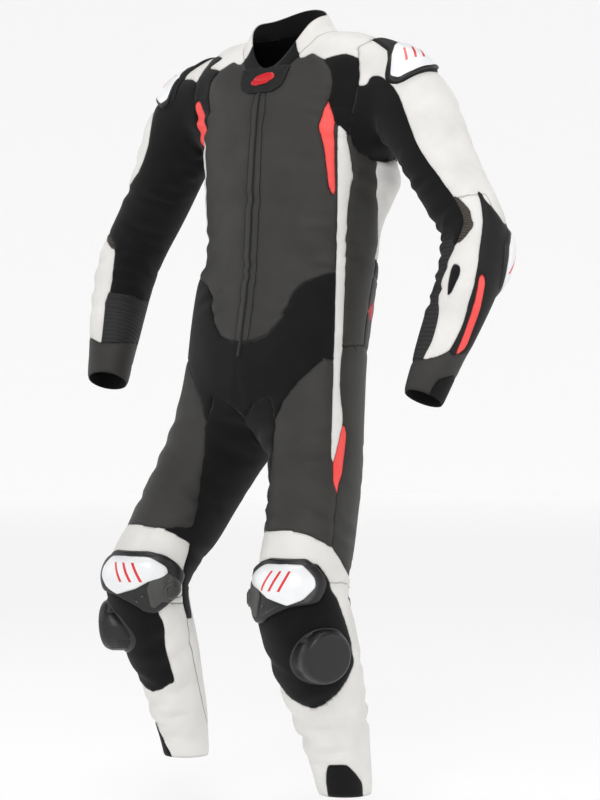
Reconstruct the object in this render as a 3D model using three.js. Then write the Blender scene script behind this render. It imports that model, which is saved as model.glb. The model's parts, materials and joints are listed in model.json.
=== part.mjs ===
// One-piece motorcycle race suit, hollow as it is worn: arms a little out, elbows and knees bent.
// Millimetres, +Z up. The suit faces -Y and the wearer's left is +X.
// One smooth net of points gives the shape of the whole suit. Each cut piece takes its own cells of
// that net and becomes a closed wall, so neighbours meet edge to edge with a narrow seam gap.
import * as THREE from "three";

// Driving dimensions
const WALL = 2.2; // leather and stretch fabric with its backing
const SEAM_GAP = 0.44; // between two neighbouring pieces
const HELD_Z = 1290; // base of the neck above the hems, where the wearer's shoulders carry the suit
const ZIP_HALF = 9; // half width of the front zip with its welts
const LOBE_POWER = 4; // how blunt the tongue at the bottom of the leather front ends
const EVENED_RINGS = 3; // rings of each sleeve and leg that are evened out where it joins the torso
const EVENING_ROUNDS = 6;
const ON_CENTRE = 1e-6; // a point closer than this to the middle plane stays in it
const SHARPEST_CORNER = 0.25; // keeps the gap from drawing a pointed corner in too far

// How moulded pieces are laid on the suit
const SEAT_LIFT = 0.8; // over the panel that they lie on
const STAND_OFF = 150; // distance from which they are laid on
const NEAR = 170; // how far from its middle a piece can reach
const PROBES = 4; // places along each edge of a face where its clearance is measured
const DRAW_IN = 0.96; // how far an outline point is drawn in each time that it misses the suit
const DRAW_IN_STEPS = 40; // how often an outline point is drawn in before it counts as off the suit
const DOME_END = 0.97; // share of the dome's arc that is used
const OUTLINE_POINTS = 24; // round a cap, puck or plate

// Torso rings, from the collar's rim down to the line where the legs start.
// width: half width. front, mid, back: Y at the front, at the widest point and at the back.
// zFront, zSide, zBack: heights above the hems. bend: how sharply the front part drops.
// lobe: half angle of the rounded tongue in which the leather front ends.
const TORSO = [
  { width: 71, front: -68, mid: 4, back: 72, zFront: 1289, zSide: 1388, zBack: 1416, bend: 2 },
  { width: 84, front: -82, mid: 6, back: 88, zFront: 1262, zSide: 1352, zBack: 1376, bend: 2 },
  { width: 132, front: -90, mid: 12, back: 122, zFront: 1240, zSide: 1358, zBack: 1350, bend: 2 },
  { width: 184, front: -97, mid: 18, back: 152, zFront: 1208, zSide: 1352, zBack: 1312, bend: 2 },
  { width: 197, front: -100, mid: 28, back: 168, zFront: 1185, zSide: 1314, zBack: 1272, bend: 2 },
  { width: 203, front: -102, mid: 34, back: 178, zFront: 1166, zSide: 1268, zBack: 1234, bend: 2 },
  { width: 206, front: -104, mid: 38, back: 184, zFront: 1149, zSide: 1222, zBack: 1200, bend: 2 },
  { width: 207, front: -105, mid: 41, back: 188, zFront: 1134, zSide: 1178, zBack: 1166, bend: 2 },
  { width: 205, front: -107, mid: 43, back: 190, zFront: 1118, zSide: 1138, zBack: 1132, bend: 2 },
  { width: 195, front: -111, mid: 38, back: 182, zFront: 1062, zSide: 1070, zBack: 1074, bend: 2 },
  { width: 183, front: -115, mid: 31, back: 166, zFront: 1012, zSide: 1014, zBack: 1016, bend: 2 },
  { width: 176, front: -118, mid: 24, back: 153, zFront: 966, zSide: 970, zBack: 968, bend: 2 },
  { width: 175, front: -124, mid: 17, back: 148, zFront: 896, zSide: 944, zBack: 936, bend: 4 },
  { width: 177, front: -147, mid: 5, back: 146, zFront: 788, zSide: 921, zBack: 892, bend: 2, lobe: 32 },
  { width: 180, front: -160, mid: -18, back: 132, zFront: 733, zSide: 864, zBack: 826, bend: 3 },
  { width: 181, front: -158, mid: -38, back: 106, zFront: 672, zSide: 797, zBack: 742, bend: 2 },
];
// Angles from the front, ring by ring, of the seams that run down the body
const TORSO_SEAMS = [
  { red: 45, fore: 56, rear: 68, side: 112, blade: 134 },
  { red: 45, fore: 56, rear: 68, side: 110, blade: 134 },
  { red: 48, fore: 57, rear: 70, side: 106, blade: 130 },
  { red: 48, fore: 56, rear: 68, side: 104, blade: 124 },
  { red: 43, fore: 51, rear: 65, side: 100, blade: 126 },
  { red: 38, fore: 46, rear: 64, side: 99, blade: 128 },
  { red: 36, fore: 45, rear: 64, side: 98, blade: 129 },
  { red: 36, fore: 45, rear: 64, side: 98, blade: 130 },
  { red: 39, fore: 47, rear: 61, side: 98, blade: 132 },
  { red: 48, fore: 51, rear: 59, side: 98, blade: 134 },
  { red: 51, fore: 54, rear: 61, side: 98, blade: 136 },
  { red: 51, fore: 55, rear: 61, side: 98, blade: 136 },
  { red: 51, fore: 56, rear: 61, side: 98, blade: 134 },
  { red: 51, fore: 58, rear: 64, side: 98, blade: 130 },
  { red: 51, fore: 59, rear: 65, side: 96, blade: 128 },
  { red: 50, fore: 60, rear: 66, side: 96, blade: 126 },
];
const COLUMNS = 12; // cells from the centre front round to the centre back, on each side
const HOLE = { top: 3, bottom: 8, front: 6, back: 9 }; // armhole, between these rings and seams

// Which cut piece the cells belong to, by their rings and columns. The first entry that fits counts.
const TORSO_PIECES = [
  { piece: "collar_front", rows: [0, 0], columns: [0, 3] },
  { piece: "collar_back", rows: [0, 0], columns: [4, 11] },
  { piece: "zip_panel", rows: [1, 12], columns: [0, 0] },
  { piece: "front", rows: [1, 12], columns: [1, 3] },
  { piece: "chest_stretch", rows: [1, 3], columns: [4, 4] },
  { piece: "chest_insert", rows: [4, 8], columns: [4, 4] },
  { piece: "front", rows: [9, 12], columns: [4, 4] },
  { piece: "yoke", rows: [1, 2], columns: [5, 8] },
  { piece: "chest_stretch", rows: [3, 6], columns: [5, 5] },
  { piece: "side_stripe", rows: [7, 14], columns: [5, 5] },
  { piece: "side_panel", rows: [3, 14], columns: [6, 7] },
  { piece: "back_side", rows: [3, 11], columns: [8, 8] },
  { piece: "back_centre", rows: [1, 11], columns: [9, 11] },
  { piece: "lower_back_stretch", rows: [12, 12], columns: [8, 11] },
  { piece: "abdomen_stretch", rows: [13, 14], columns: [0, 4] },
  { piece: "seat", rows: [13, 14], columns: [8, 11] },
];
const SLEEVE_PIECES = [
  { piece: "sleeve_outer", rows: [0, 6], columns: [0, 2] },
  { piece: "sleeve_inner", rows: [0, 6], columns: [3, 11] },
  { piece: "sleeve_outer", rows: [0, 6], columns: [12, 15] },
  { piece: "elbow_gusset", rows: [7, 8], columns: [3, 6] },
  { piece: "sleeve_inner", rows: [7, 8], columns: [7, 11] },
  { piece: "forearm_front", rows: [7, 13], columns: [0, 3] },
  { piece: "forearm_inner", rows: [9, 13], columns: [4, 11] },
  { piece: "elbow_guard", rows: [7, 13], columns: [12, 15] },
  { piece: "cuff", rows: [14, 14], columns: [0, 15] },
];
const LEG_PIECES = [
  { piece: "thigh_front", rows: [0, 1], columns: [2, 4] },
  { piece: "thigh_front", rows: [2, 4], columns: [1, 4] },
  { piece: "side_stripe", rows: [0, 3], columns: [5, 5] },
  { piece: "thigh_front", rows: [4, 4], columns: [5, 5] },
  { piece: "thigh_outer", rows: [0, 4], columns: [6, 11] },
  { piece: "leg_inner", rows: [0, 4], columns: [0, 18] },
  { piece: "knee_band", rows: [5, 6], columns: [0, 9] },
  { piece: "knee_band", rows: [5, 8], columns: [17, 18] },
  { piece: "knee_panel", rows: [7, 10], columns: [0, 7] },
  { piece: "knee_panel", rows: [11, 11], columns: [1, 6] },
  { piece: "leg_inner", rows: [5, 8], columns: [8, 16] },
  { piece: "calf_outer", rows: [9, 15], columns: [3, 11] },
  { piece: "calf_inner", rows: [9, 15], columns: [0, 18] },
];
// Pieces that run across the middle, so that there is one of each
const SINGLE = [
  "collar_front", "collar_back", "zip_panel", "abdomen_stretch", "seat", "lower_back_stretch", "back_centre",
];

// Cells that a slanting seam cuts in two: the piece above the seam and the piece below it.
// fall is true where the seam runs down as it goes away from the centre front.
const SLANTS = [
  { row: 1, column: 4, fall: true, above: "yoke", below: "chest_stretch" },
  { row: 2, column: 5, fall: true, above: "yoke", below: "chest_stretch" },
  { row: 6, column: 5, fall: true, above: "chest_stretch", below: "side_stripe" },
];

// Crotch line between the legs, in the plane X = 0, from the back to the front
const CROTCH = [
  { y: 84, z: 684 }, { y: 50, z: 634 }, { y: 4, z: 602 },
  { y: -46, z: 590 }, { y: -92, z: 602 }, { y: -130, z: 634 },
];

// Sleeve rings from the armhole to the cuff. tip: how far the ring's axis turns down from level.
// reach: how far it points forward. out and fore: half sizes across the arm.
const SLEEVE = [
  { x: 222, y: 19, z: 1256, tip: 24, reach: 0, out: 101, fore: 82 },
  { x: 246, y: 20, z: 1230, tip: 44, reach: 0, out: 90, fore: 80 },
  { x: 269, y: 21, z: 1190, tip: 55, reach: 0, out: 78, fore: 76 },
  { x: 291, y: 22, z: 1146, tip: 60, reach: 0, out: 69, fore: 71 },
  { x: 315, y: 23, z: 1101, tip: 61, reach: 0, out: 64, fore: 67 },
  { x: 340, y: 24, z: 1057, tip: 61, reach: 0, out: 61, fore: 64 },
  { x: 364, y: 23, z: 1020, tip: 64, reach: 5, out: 60, fore: 62 },
  { x: 383, y: 20, z: 988, tip: 72, reach: 10, out: 60, fore: 61 },
  { x: 393, y: 12, z: 956, tip: 84, reach: 18, out: 60, fore: 60 },
  { x: 394, y: -2, z: 921, tip: 92, reach: 23, out: 58, fore: 58 },
  { x: 388, y: -24, z: 872, tip: 96, reach: 25, out: 55, fore: 54 },
  { x: 379, y: -48, z: 818, tip: 98, reach: 25, out: 49, fore: 49 },
  { x: 370, y: -69, z: 770, tip: 98, reach: 25, out: 44, fore: 44 },
  { x: 366, y: -79, z: 745, tip: 98, reach: 25, out: 41, fore: 41 },
  { x: 357, y: -101, z: 692, tip: 98, reach: 25, out: 36, fore: 36 },
];
// The right cuff sits higher on the arm, so its sleeve ends in rings of its own
const RIGHT_SLEEVE_END = [
  { x: 372, y: -64, z: 784, tip: 98, reach: 25, out: 45, fore: 45 },
  { x: 369, y: -71, z: 766, tip: 98, reach: 25, out: 43, fore: 43 },
  { x: 363, y: -87, z: 726, tip: 98, reach: 25, out: 39, fore: 39 },
];

// Leg rings from the crotch to the hem. rise: the outer side stands higher by this share.
// lean: the back stands higher by this share. wide and deep: half sizes.
const LEG = [
  { x: 101, y: -43, z: 660, rise: 0.62, lean: 0.0, wide: 90, deep: 118 },
  { x: 111, y: -63, z: 607, rise: 0.36, lean: -0.15, wide: 84, deep: 102 },
  { x: 124, y: -88, z: 556, rise: 0.18, lean: -0.3, wide: 79, deep: 90 },
  { x: 138, y: -117, z: 500, rise: 0.1, lean: -0.36, wide: 77, deep: 84 },
  { x: 153, y: -150, z: 434, rise: 0.06, lean: -0.36, wide: 77, deep: 81 },
  { x: 161, y: -172, z: 405, rise: 0.03, lean: -0.24, wide: 78, deep: 80 },
  { x: 168, y: -188, z: 380, rise: 0.0, lean: -0.1, wide: 80, deep: 81 },
  { x: 172, y: -196, z: 352, rise: 0.0, lean: 0.0, wide: 80, deep: 81 },
  { x: 174, y: -192, z: 322, rise: 0.0, lean: 0.14, wide: 78, deep: 80 },
  { x: 176, y: -180, z: 288, rise: 0.0, lean: 0.24, wide: 75, deep: 78 },
  { x: 177, y: -163, z: 248, rise: 0.0, lean: 0.3, wide: 72, deep: 75 },
  { x: 176, y: -143, z: 202, rise: 0.0, lean: 0.3, wide: 67, deep: 70 },
  { x: 176, y: -120, z: 150, rise: 0.0, lean: 0.26, wide: 61, deep: 64 },
  { x: 177, y: -102, z: 100, rise: 0.0, lean: 0.2, wide: 54, deep: 58 },
  { x: 178, y: -87, z: 50, rise: 0.0, lean: 0.1, wide: 48, deep: 53 },
  { x: 179, y: -77, z: 0, rise: 0.0, lean: 0.0, wide: 44, deep: 48 },
];
// Angles of the leg's columns from its front towards its outer side
const LEG_ANGLES = [-55, -43, -22, 2, 29, 52, 64, 88, 110, 130, 151, 172, 194, 212, 229, 245, 260, 275, 290];
// How each leg stands: turn about its length, lift of its hem, girth below the knee, and how much
// higher its knee cup sits than the table says
const STANCE = {
  left: { turn: 8, lift: 0, girth: 1.05, cup: 16 },
  right: { turn: -8, lift: 34, girth: 0.92, cup: 0 },
};
const KNEE_RING = 8; // number of the leg ring at the kneecap

// Largest folds: a trough (minus) or a ridge (plus) in a sleeve or leg, at a ring and over a
// stretch of columns, that dies out at both ends of the stretch.
const FOLDS = [
  { tube: "sleeve", ring: 4, from: 4, to: 10, depth: -4 },
  { tube: "sleeve", ring: 6, from: 2, to: 7, depth: -5 },
  { tube: "sleeve", ring: 8, from: 2, to: 8, depth: -6 },
  { tube: "sleeve", ring: 9, from: 3, to: 8, depth: 3 },
  { tube: "sleeve", ring: 11, from: 4, to: 10, depth: -4 },
  { tube: "leg", ring: 2, from: 11, to: 17, depth: -5 },
  { tube: "leg", ring: 6, from: 10, to: 16, depth: -6 },
  { tube: "leg", ring: 7, from: 9, to: 16, depth: 5 },
  { tube: "leg", ring: 8, from: 10, to: 17, depth: -6 },
  { tube: "leg", ring: 13, from: 2, to: 9, depth: -4 },
  { tube: "leg", ring: 14, from: 1, to: 8, depth: 3 },
  { tube: "leg", ring: 13, from: 11, to: 17, depth: -4 },
];

const FINISH = {
  charcoal: { color: 0x42413e, roughness: 0.6 },
  white: { color: 0xecebe8, roughness: 0.5 },
  red: { color: 0xf2544f, roughness: 0.5 },
  stretch: { color: 0x1c1c1e, roughness: 0.95 },
  gusset: { color: 0x4a443c, roughness: 0.85 },
  shell: { color: 0xf0f1f3, roughness: 0.25 },
  puck: { color: 0x26272a, roughness: 0.5 },
  plate: { color: 0x50504d, roughness: 0.4 },
  zip: { color: 0x2a2a2c, roughness: 0.6 },
};

const rad = THREE.MathUtils.degToRad;

// The net of points
const points = [];
const cells = []; // { corners: [3 or 4 point numbers, facing out], piece }

function addPoint(x, y, z) {
  points.push(new THREE.Vector3(x, y, z));
  return points.length - 1;
}

function addCell(mirrored, corners, piece) {
  const [first, ...rest] = corners;
  cells.push({ corners: mirrored ? [first, ...rest.reverse()] : corners, piece });
}

function torsoAngles(row) {
  const ring = TORSO[row];
  const seam = TORSO_SEAMS[row];
  const zip = THREE.MathUtils.radToDeg(Math.asin(ZIP_HALF / ring.width));
  const third = (seam.red - zip) / 3;
  const behind = (180 - seam.blade) / 3;
  return [
    0, zip, zip + third, zip + 2 * third, seam.red, seam.fore, seam.rear,
    (seam.rear + seam.side) / 2, seam.side, seam.blade, seam.blade + behind, seam.blade + 2 * behind, 180,
  ];
}

// Share of a ring's drop that a point takes: none at the side, all in the middle
function dropShare(ring, degrees) {
  const turn = rad(degrees);
  if (ring.lobe && degrees < 90) {
    return 1 / (1 + (Math.tan(turn) / Math.tan(rad(ring.lobe))) ** LOBE_POWER);
  }
  return Math.abs(Math.cos(turn)) ** ring.bend;
}

function torsoPoint(ring, degrees, hand) {
  const turn = rad(degrees);
  const ahead = degrees < 90;
  const reach = ahead ? ring.front - ring.mid : ring.back - ring.mid;
  const drop = ahead ? ring.zFront - ring.zSide : ring.zBack - ring.zSide;
  const x = degrees === 0 || degrees === 180 ? 0 : hand * ring.width * Math.sin(turn);
  return [x, ring.mid + reach * Math.abs(Math.cos(turn)), ring.zSide + drop * dropShare(ring, degrees)];
}

// Centre points that both sides share
const centreFront = TORSO.map((ring) => addPoint(...torsoPoint(ring, 0, 1)));
const centreBack = TORSO.map((ring) => addPoint(...torsoPoint(ring, 180, 1)));
const crotchLine = CROTCH.map(({ y, z }) => addPoint(0, y, z));

function foldDepth(tube, ring, column) {
  let depth = 0;
  for (const fold of FOLDS) {
    const crossed = fold.tube === tube && fold.ring === ring && column > fold.from && column < fold.to;
    const share = (column - fold.from) / (fold.to - fold.from);
    if (crossed) depth += fold.depth * Math.sin(Math.PI * share);
  }
  return depth;
}

function sleeveRing(ring, number, count, hand) {
  const tip = rad(ring.tip);
  const reach = rad(ring.reach);
  const along = new THREE.Vector3(
    Math.cos(tip) * Math.cos(reach),
    -Math.sin(reach),
    -Math.sin(tip) * Math.cos(reach),
  );
  const outward = new THREE.Vector3(Math.sin(tip), 0, Math.cos(tip));
  const forward = new THREE.Vector3().crossVectors(along, outward);
  forward.multiplyScalar(forward.y > 0 ? -1 : 1);
  const row = [];
  for (let k = 0; k < count; k += 1) {
    const turn = 2 * Math.PI * (k + 0.5) / count;
    const grow = foldDepth("sleeve", number, k);
    const p = new THREE.Vector3(ring.x, ring.y, ring.z)
      .addScaledVector(outward, (ring.out + grow) * Math.cos(turn))
      .addScaledVector(forward, (ring.fore + grow) * Math.sin(turn));
    row.push(addPoint(hand * p.x, p.y, p.z));
  }
  return row;
}

function legRing(ring, number, stance, hand) {
  const girth = number > KNEE_RING ? stance.girth : 1;
  const lift = stance.lift * (1 - ring.z / LEG[0].z);
  return LEG_ANGLES.map((degrees, k) => {
    const twist = rad(degrees + stance.turn * Math.min(1, number / KNEE_RING));
    const grow = foldDepth("leg", number, k);
    const dx = (ring.wide * girth + grow) * Math.sin(twist);
    const dy = -(ring.deep * girth + grow) * Math.cos(twist);
    const z = ring.z + lift + ring.rise * dx + ring.lean * dy;
    return addPoint(hand * (ring.x + dx), ring.y + dy, z);
  });
}

function pieceAt(table, row, column, tag) {
  const within = (value, [first, last]) => value >= first && value <= last;
  const { piece } = table.find((entry) => within(row, entry.rows) && within(column, entry.columns));
  return SINGLE.includes(piece) ? piece : `${piece}_${tag}`;
}

function buildHalf(hand) {
  const tag = hand > 0 ? "left" : "right";
  const mirrored = hand < 0;
  const torso = TORSO.map((ring, row) => torsoAngles(row).map((degrees, column) => {
    if (column === 0) return centreFront[row];
    if (column === COLUMNS) return centreBack[row];
    const besides = column > HOLE.front && column < HOLE.back;
    if (besides && row > HOLE.top && row < HOLE.bottom) return -1;
    return addPoint(...torsoPoint(ring, degrees, hand));
  }));
  for (let row = 0; row < TORSO.length - 1; row += 1) {
    for (let column = 0; column < COLUMNS; column += 1) {
      const open = row >= HOLE.top && row < HOLE.bottom && column >= HOLE.front && column < HOLE.back;
      if (open) continue;
      const [a, b] = [torso[row][column], torso[row][column + 1]];
      const [d, c] = [torso[row + 1][column], torso[row + 1][column + 1]];
      const slant = SLANTS.find((entry) => entry.row === row && entry.column === column);
      if (slant) {
        addCell(mirrored, [a, c, b], `${slant.above}_${tag}`);
        addCell(mirrored, [a, d, c], `${slant.below}_${tag}`);
      } else {
        addCell(mirrored, [a, d, c, b], pieceAt(TORSO_PIECES, row, column, tag));
      }
    }
  }

  // The armhole's rim, from the top round the front, and the sleeve's rings from there
  const rim = [torso[HOLE.top][7], torso[HOLE.top][6]];
  for (let row = HOLE.top + 1; row < HOLE.bottom; row += 1) rim.push(torso[row][HOLE.front]);
  for (let column = HOLE.front; column <= HOLE.back; column += 1) rim.push(torso[HOLE.bottom][column]);
  for (let row = HOLE.bottom - 1; row > HOLE.top; row -= 1) rim.push(torso[row][HOLE.back]);
  rim.push(torso[HOLE.top][9], torso[HOLE.top][8]);
  const end = hand > 0 ? SLEEVE.slice(-RIGHT_SLEEVE_END.length) : RIGHT_SLEEVE_END;
  const rings = [...SLEEVE.slice(0, -end.length), ...end];
  const sleeve = [rim, ...rings.map((ring, number) => sleeveRing(ring, number + 1, rim.length, hand))];
  loftCells(sleeve, !mirrored, (row, column) => pieceAt(SLEEVE_PIECES, row, column, tag));

  // The leg's rings from the lowest torso ring and the crotch line
  const start = [...torso[TORSO.length - 1], ...crotchLine];
  const leg = [start, ...LEG.map((ring, number) => legRing(ring, number + 1, STANCE[tag], hand))];
  loftCells(leg, mirrored, (row, column) => pieceAt(LEG_PIECES, row, column, tag));
  return { torso, sleeve, leg };
}

function loftCells(rings, mirrored, pieceOf) {
  for (let row = 0; row < rings.length - 1; row += 1) {
    const count = rings[row].length;
    for (let column = 0; column < count; column += 1) {
      const next = (column + 1) % count;
      const corners = [rings[row][column], rings[row + 1][column], rings[row + 1][next], rings[row][next]];
      addCell(mirrored, corners, pieceOf(row, column));
    }
  }
}

// Evens out the net near the armholes and the crotch, where three tubes meet
function relax(chosen, rounds) {
  const near = new Map([...chosen].map((id) => [id, new Set()]));
  for (const { corners } of cells) {
    corners.forEach((id, i) => {
      if (!near.has(id)) return;
      near.get(id).add(corners[(i + 1) % corners.length]);
      near.get(id).add(corners[(i + corners.length - 1) % corners.length]);
    });
  }
  for (let round = 0; round < rounds; round += 1) {
    const moved = [...near].map(([id, others]) => {
      const mean = new THREE.Vector3();
      others.forEach((other) => mean.add(points[other]));
      mean.multiplyScalar(1 / others.size);
      const to = points[id].clone().lerp(mean, 0.5);
      if (Math.abs(points[id].x) < ON_CENTRE) to.x = 0;
      return [id, to];
    });
    moved.forEach(([id, to]) => points[id].copy(to));
  }
}

const halves = [buildHalf(1), buildHalf(-1)];
const joints = new Set();
for (const { sleeve, leg } of halves) {
  sleeve.slice(0, EVENED_RINGS).flat().forEach((id) => joints.add(id));
  leg.slice(0, EVENED_RINGS).flat().forEach((id) => joints.add(id));
}
relax(joints, EVENING_ROUNDS);

// Outward direction at each point of the net
const normals = points.map(() => new THREE.Vector3());
function cellNormal(corners) {
  const normal = new THREE.Vector3();
  for (let i = 1; i < corners.length - 1; i += 1) {
    const u = points[corners[i]].clone().sub(points[corners[0]]);
    const v = points[corners[i + 1]].clone().sub(points[corners[0]]);
    normal.add(u.cross(v));
  }
  return normal;
}
for (const { corners } of cells) {
  const normal = cellNormal(corners);
  corners.forEach((id) => normals[id].add(normal));
}
normals.forEach((normal) => normal.normalize());

// A closed wall from a piece's cells: outside, inside and edges, drawn in by half the seam gap
function wallGeometry(own) {
  const uses = new Map();
  const key = (a, b) => `${a}_${b}`;
  own.forEach(({ corners }) => corners.forEach((a, i) => {
    uses.set(key(a, corners[(i + 1) % corners.length]), [a, corners[(i + 1) % corners.length]]);
  }));
  const rimEdges = [...uses.values()].filter(([a, b]) => !uses.has(key(b, a)));
  const inward = new Map();
  for (const [a, b] of rimEdges) {
    for (const id of [a, b]) {
      const edge = points[b].clone().sub(points[a]);
      const side = normals[id].clone().cross(edge).normalize();
      if (!inward.has(id)) inward.set(id, []);
      inward.get(id).push(side);
    }
  }
  const numbers = new Map();
  const position = [];
  const place = (id, inner) => {
    const name = `${id}_${inner}`;
    if (numbers.has(name)) return numbers.get(name);
    const p = points[id].clone().addScaledVector(normals[id], inner ? -WALL : 0);
    const sides = inward.get(id);
    if (sides) {
      const mean = sides.reduce((sum, side) => sum.add(side), new THREE.Vector3()).normalize();
      const turn = Math.max(SHARPEST_CORNER, mean.dot(sides[0]));
      p.addScaledVector(mean, SEAM_GAP / 2 / turn);
    }
    numbers.set(name, position.length / 3);
    position.push(p.x, p.y, p.z - HELD_Z);
    return numbers.get(name);
  };
  const index = [];
  for (const { corners } of own) {
    for (let i = 1; i < corners.length - 1; i += 1) {
      const [a, b, c] = [corners[0], corners[i], corners[i + 1]];
      index.push(place(a, 0), place(b, 0), place(c, 0));
      index.push(place(a, 1), place(c, 1), place(b, 1));
    }
  }
  for (const [a, b] of rimEdges) {
    index.push(place(b, 0), place(a, 0), place(a, 1));
    index.push(place(b, 0), place(a, 1), place(b, 1));
  }
  const geometry = new THREE.BufferGeometry();
  geometry.setAttribute("position", new THREE.Float32BufferAttribute(position, 3));
  geometry.setIndex(index);
  return geometry;
}

// Where a line along towards meets the outside of the suit, among the triangles near a spot
const triangles = [];
for (const { corners } of cells) {
  for (let i = 1; i < corners.length - 1; i += 1) {
    triangles.push([corners[0], corners[i], corners[i + 1]].map((id) => points[id]));
  }
}
const trianglesNear = (spot) => triangles.filter((t) => t.some((p) => p.distanceTo(spot) < NEAR));
function land(near, from, towards) {
  const ray = new THREE.Ray(from, towards);
  const hit = new THREE.Vector3();
  let best = null;
  for (const [a, b, c] of near) {
    if (!ray.intersectTriangle(a, b, c, true, hit)) continue;
    if (!best || hit.distanceTo(from) < best.distanceTo(from)) best = hit.clone();
  }
  return best;
}

// A moulded piece that lies on the suit. Its outline is drawn in a plane in front of the spot, laid
// on the suit along that plane's normal and raised to a crown.
function mouldedPiece({ at, facing, up, outline, rings, sectors, edge, crown }) {
  const out = new THREE.Vector3(...facing).normalize();
  const back = out.clone().negate();
  const side = new THREE.Vector3(...up).cross(out).normalize();
  const top = new THREE.Vector3().crossVectors(out, side);
  const spot = new THREE.Vector3(...at);
  const near = trianglesNear(spot);
  const footOf = (u, v) => {
    const start = spot.clone().addScaledVector(out, STAND_OFF);
    start.addScaledVector(side, u).addScaledVector(top, v);
    return land(near, start, back);
  };
  const feet = [];
  const shares = [];
  const put = (share, turn) => {
    // Drawn in a little where the suit rounds away under the outline
    let radius = share * outline(turn);
    let foot = null;
    for (let attempt = 0; !foot && attempt < DRAW_IN_STEPS; attempt += 1) {
      foot = footOf(radius * Math.cos(turn), radius * Math.sin(turn));
      radius *= DRAW_IN;
    }
    if (!foot) throw new Error(`moulded piece at ${at} misses the suit`);
    feet.push(foot);
    shares.push(share);
  };
  put(0, 0);
  for (let ring = 1; ring <= rings; ring += 1) {
    for (let k = 0; k < sectors; k += 1) put(ring / rings, 2 * Math.PI * k / sectors);
  }
  const faces = [];
  const number = (ring, k) => (ring === 0 ? 0 : 1 + (ring - 1) * sectors + (k % sectors));
  for (let ring = 0; ring < rings; ring += 1) {
    for (let k = 0; k < sectors; k += 1) {
      const [a, b] = [number(ring, k), number(ring + 1, k)];
      const [c, d] = [number(ring + 1, k + 1), number(ring, k + 1)];
      faces.push([a, b, c]);
      if (ring > 0) faces.push([a, c, d]);
    }
  }
  // Raised where the suit stands above the flat faces of the underside
  const raise = feet.map(() => 0);
  for (const face of faces) {
    let most = 0;
    for (let i = 0; i <= PROBES; i += 1) {
      for (let j = 0; i + j <= PROBES; j += 1) {
        const weights = [i / PROBES, j / PROBES, (PROBES - i - j) / PROBES];
        const p = new THREE.Vector3();
        face.forEach((id, corner) => p.addScaledVector(feet[id], weights[corner]));
        const rel = p.clone().sub(spot);
        const skin = footOf(rel.dot(side), rel.dot(top));
        if (skin) most = Math.max(most, skin.sub(p).dot(out));
      }
    }
    face.forEach((id) => { raise[id] = Math.max(raise[id], most); });
  }
  const inner = feet.map((foot, id) => foot.clone().addScaledVector(out, SEAT_LIFT + raise[id]));
  const outer = inner.map((p, id) => {
    const dome = Math.sqrt(Math.max(0, 1 - (shares[id] * DOME_END) ** 2));
    return p.clone().addScaledVector(out, edge + crown * dome);
  });
  const position = [...outer, ...inner].flatMap((p) => [p.x, p.y, p.z - HELD_Z]);
  const count = inner.length;
  const index = faces.flatMap(([a, b, c]) => [a, b, c, count + a, count + c, count + b]);
  for (let k = 0; k < sectors; k += 1) {
    const [a, b] = [number(rings, k), number(rings, k + 1)];
    index.push(a, count + a, count + b, a, count + b, b);
  }
  const geometry = new THREE.BufferGeometry();
  geometry.setAttribute("position", new THREE.Float32BufferAttribute(position, 3));
  geometry.setIndex(index);
  return geometry;
}

// Rounded rectangle as a radius for each direction
const rounded = (wide, high, power) => (turn) => (
  (Math.abs(Math.cos(turn) / wide) ** power + Math.abs(Math.sin(turn) / high) ** power) ** (-1 / power)
);

const suit = new THREE.Group();
function addMesh(name, geometry, finish) {
  geometry.computeVertexNormals();
  const material = new THREE.MeshStandardMaterial({ ...FINISH[finish], metalness: 0 });
  const mesh = new THREE.Mesh(geometry, material);
  mesh.name = name;
  suit.add(mesh);
}

const PIECE_FINISH = {
  zip_panel: "zip", collar_front: "stretch", collar_back: "white", front: "charcoal",
  chest_stretch: "stretch", yoke: "white", chest_insert: "red", side_stripe: "white",
  side_panel: "charcoal", back_side: "white", back_centre: "charcoal", lower_back_stretch: "stretch",
  abdomen_stretch: "stretch", seat: "charcoal", sleeve_outer: "white", sleeve_inner: "stretch",
  elbow_gusset: "gusset", elbow_guard: "charcoal", forearm_front: "white", forearm_inner: "charcoal",
  cuff: "charcoal", thigh_front: "charcoal", thigh_outer: "charcoal", leg_inner: "stretch",
  knee_band: "white", knee_panel: "stretch", calf_outer: "white", calf_inner: "white",
};
for (const name of [...new Set(cells.map(({ piece }) => piece))].sort()) {
  const kind = name.replace(/_(left|right)$/, "");
  addMesh(name, wallGeometry(cells.filter(({ piece }) => piece === name)), PIECE_FINISH[kind]);
}

// Moulded pieces of one side: at is the middle, facing the way that it looks
const MOULDED = [
  {
    name: "shoulder_cup", finish: "shell", at: [252, -12, 1300],
    facing: [0.66, -0.36, 0.66], up: [-0.5, 0, 1],
    wide: 58, high: 56, power: 2.6, rings: 5, edge: 4, crown: 8,
  },
  {
    name: "elbow_cap", finish: "shell", at: [438, 34, 932],
    facing: [0.87, 0.48, -0.05], up: [0, 0, 1],
    wide: 36, high: 62, power: 2.4, rings: 5, edge: 3, crown: 7,
  },
];
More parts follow.
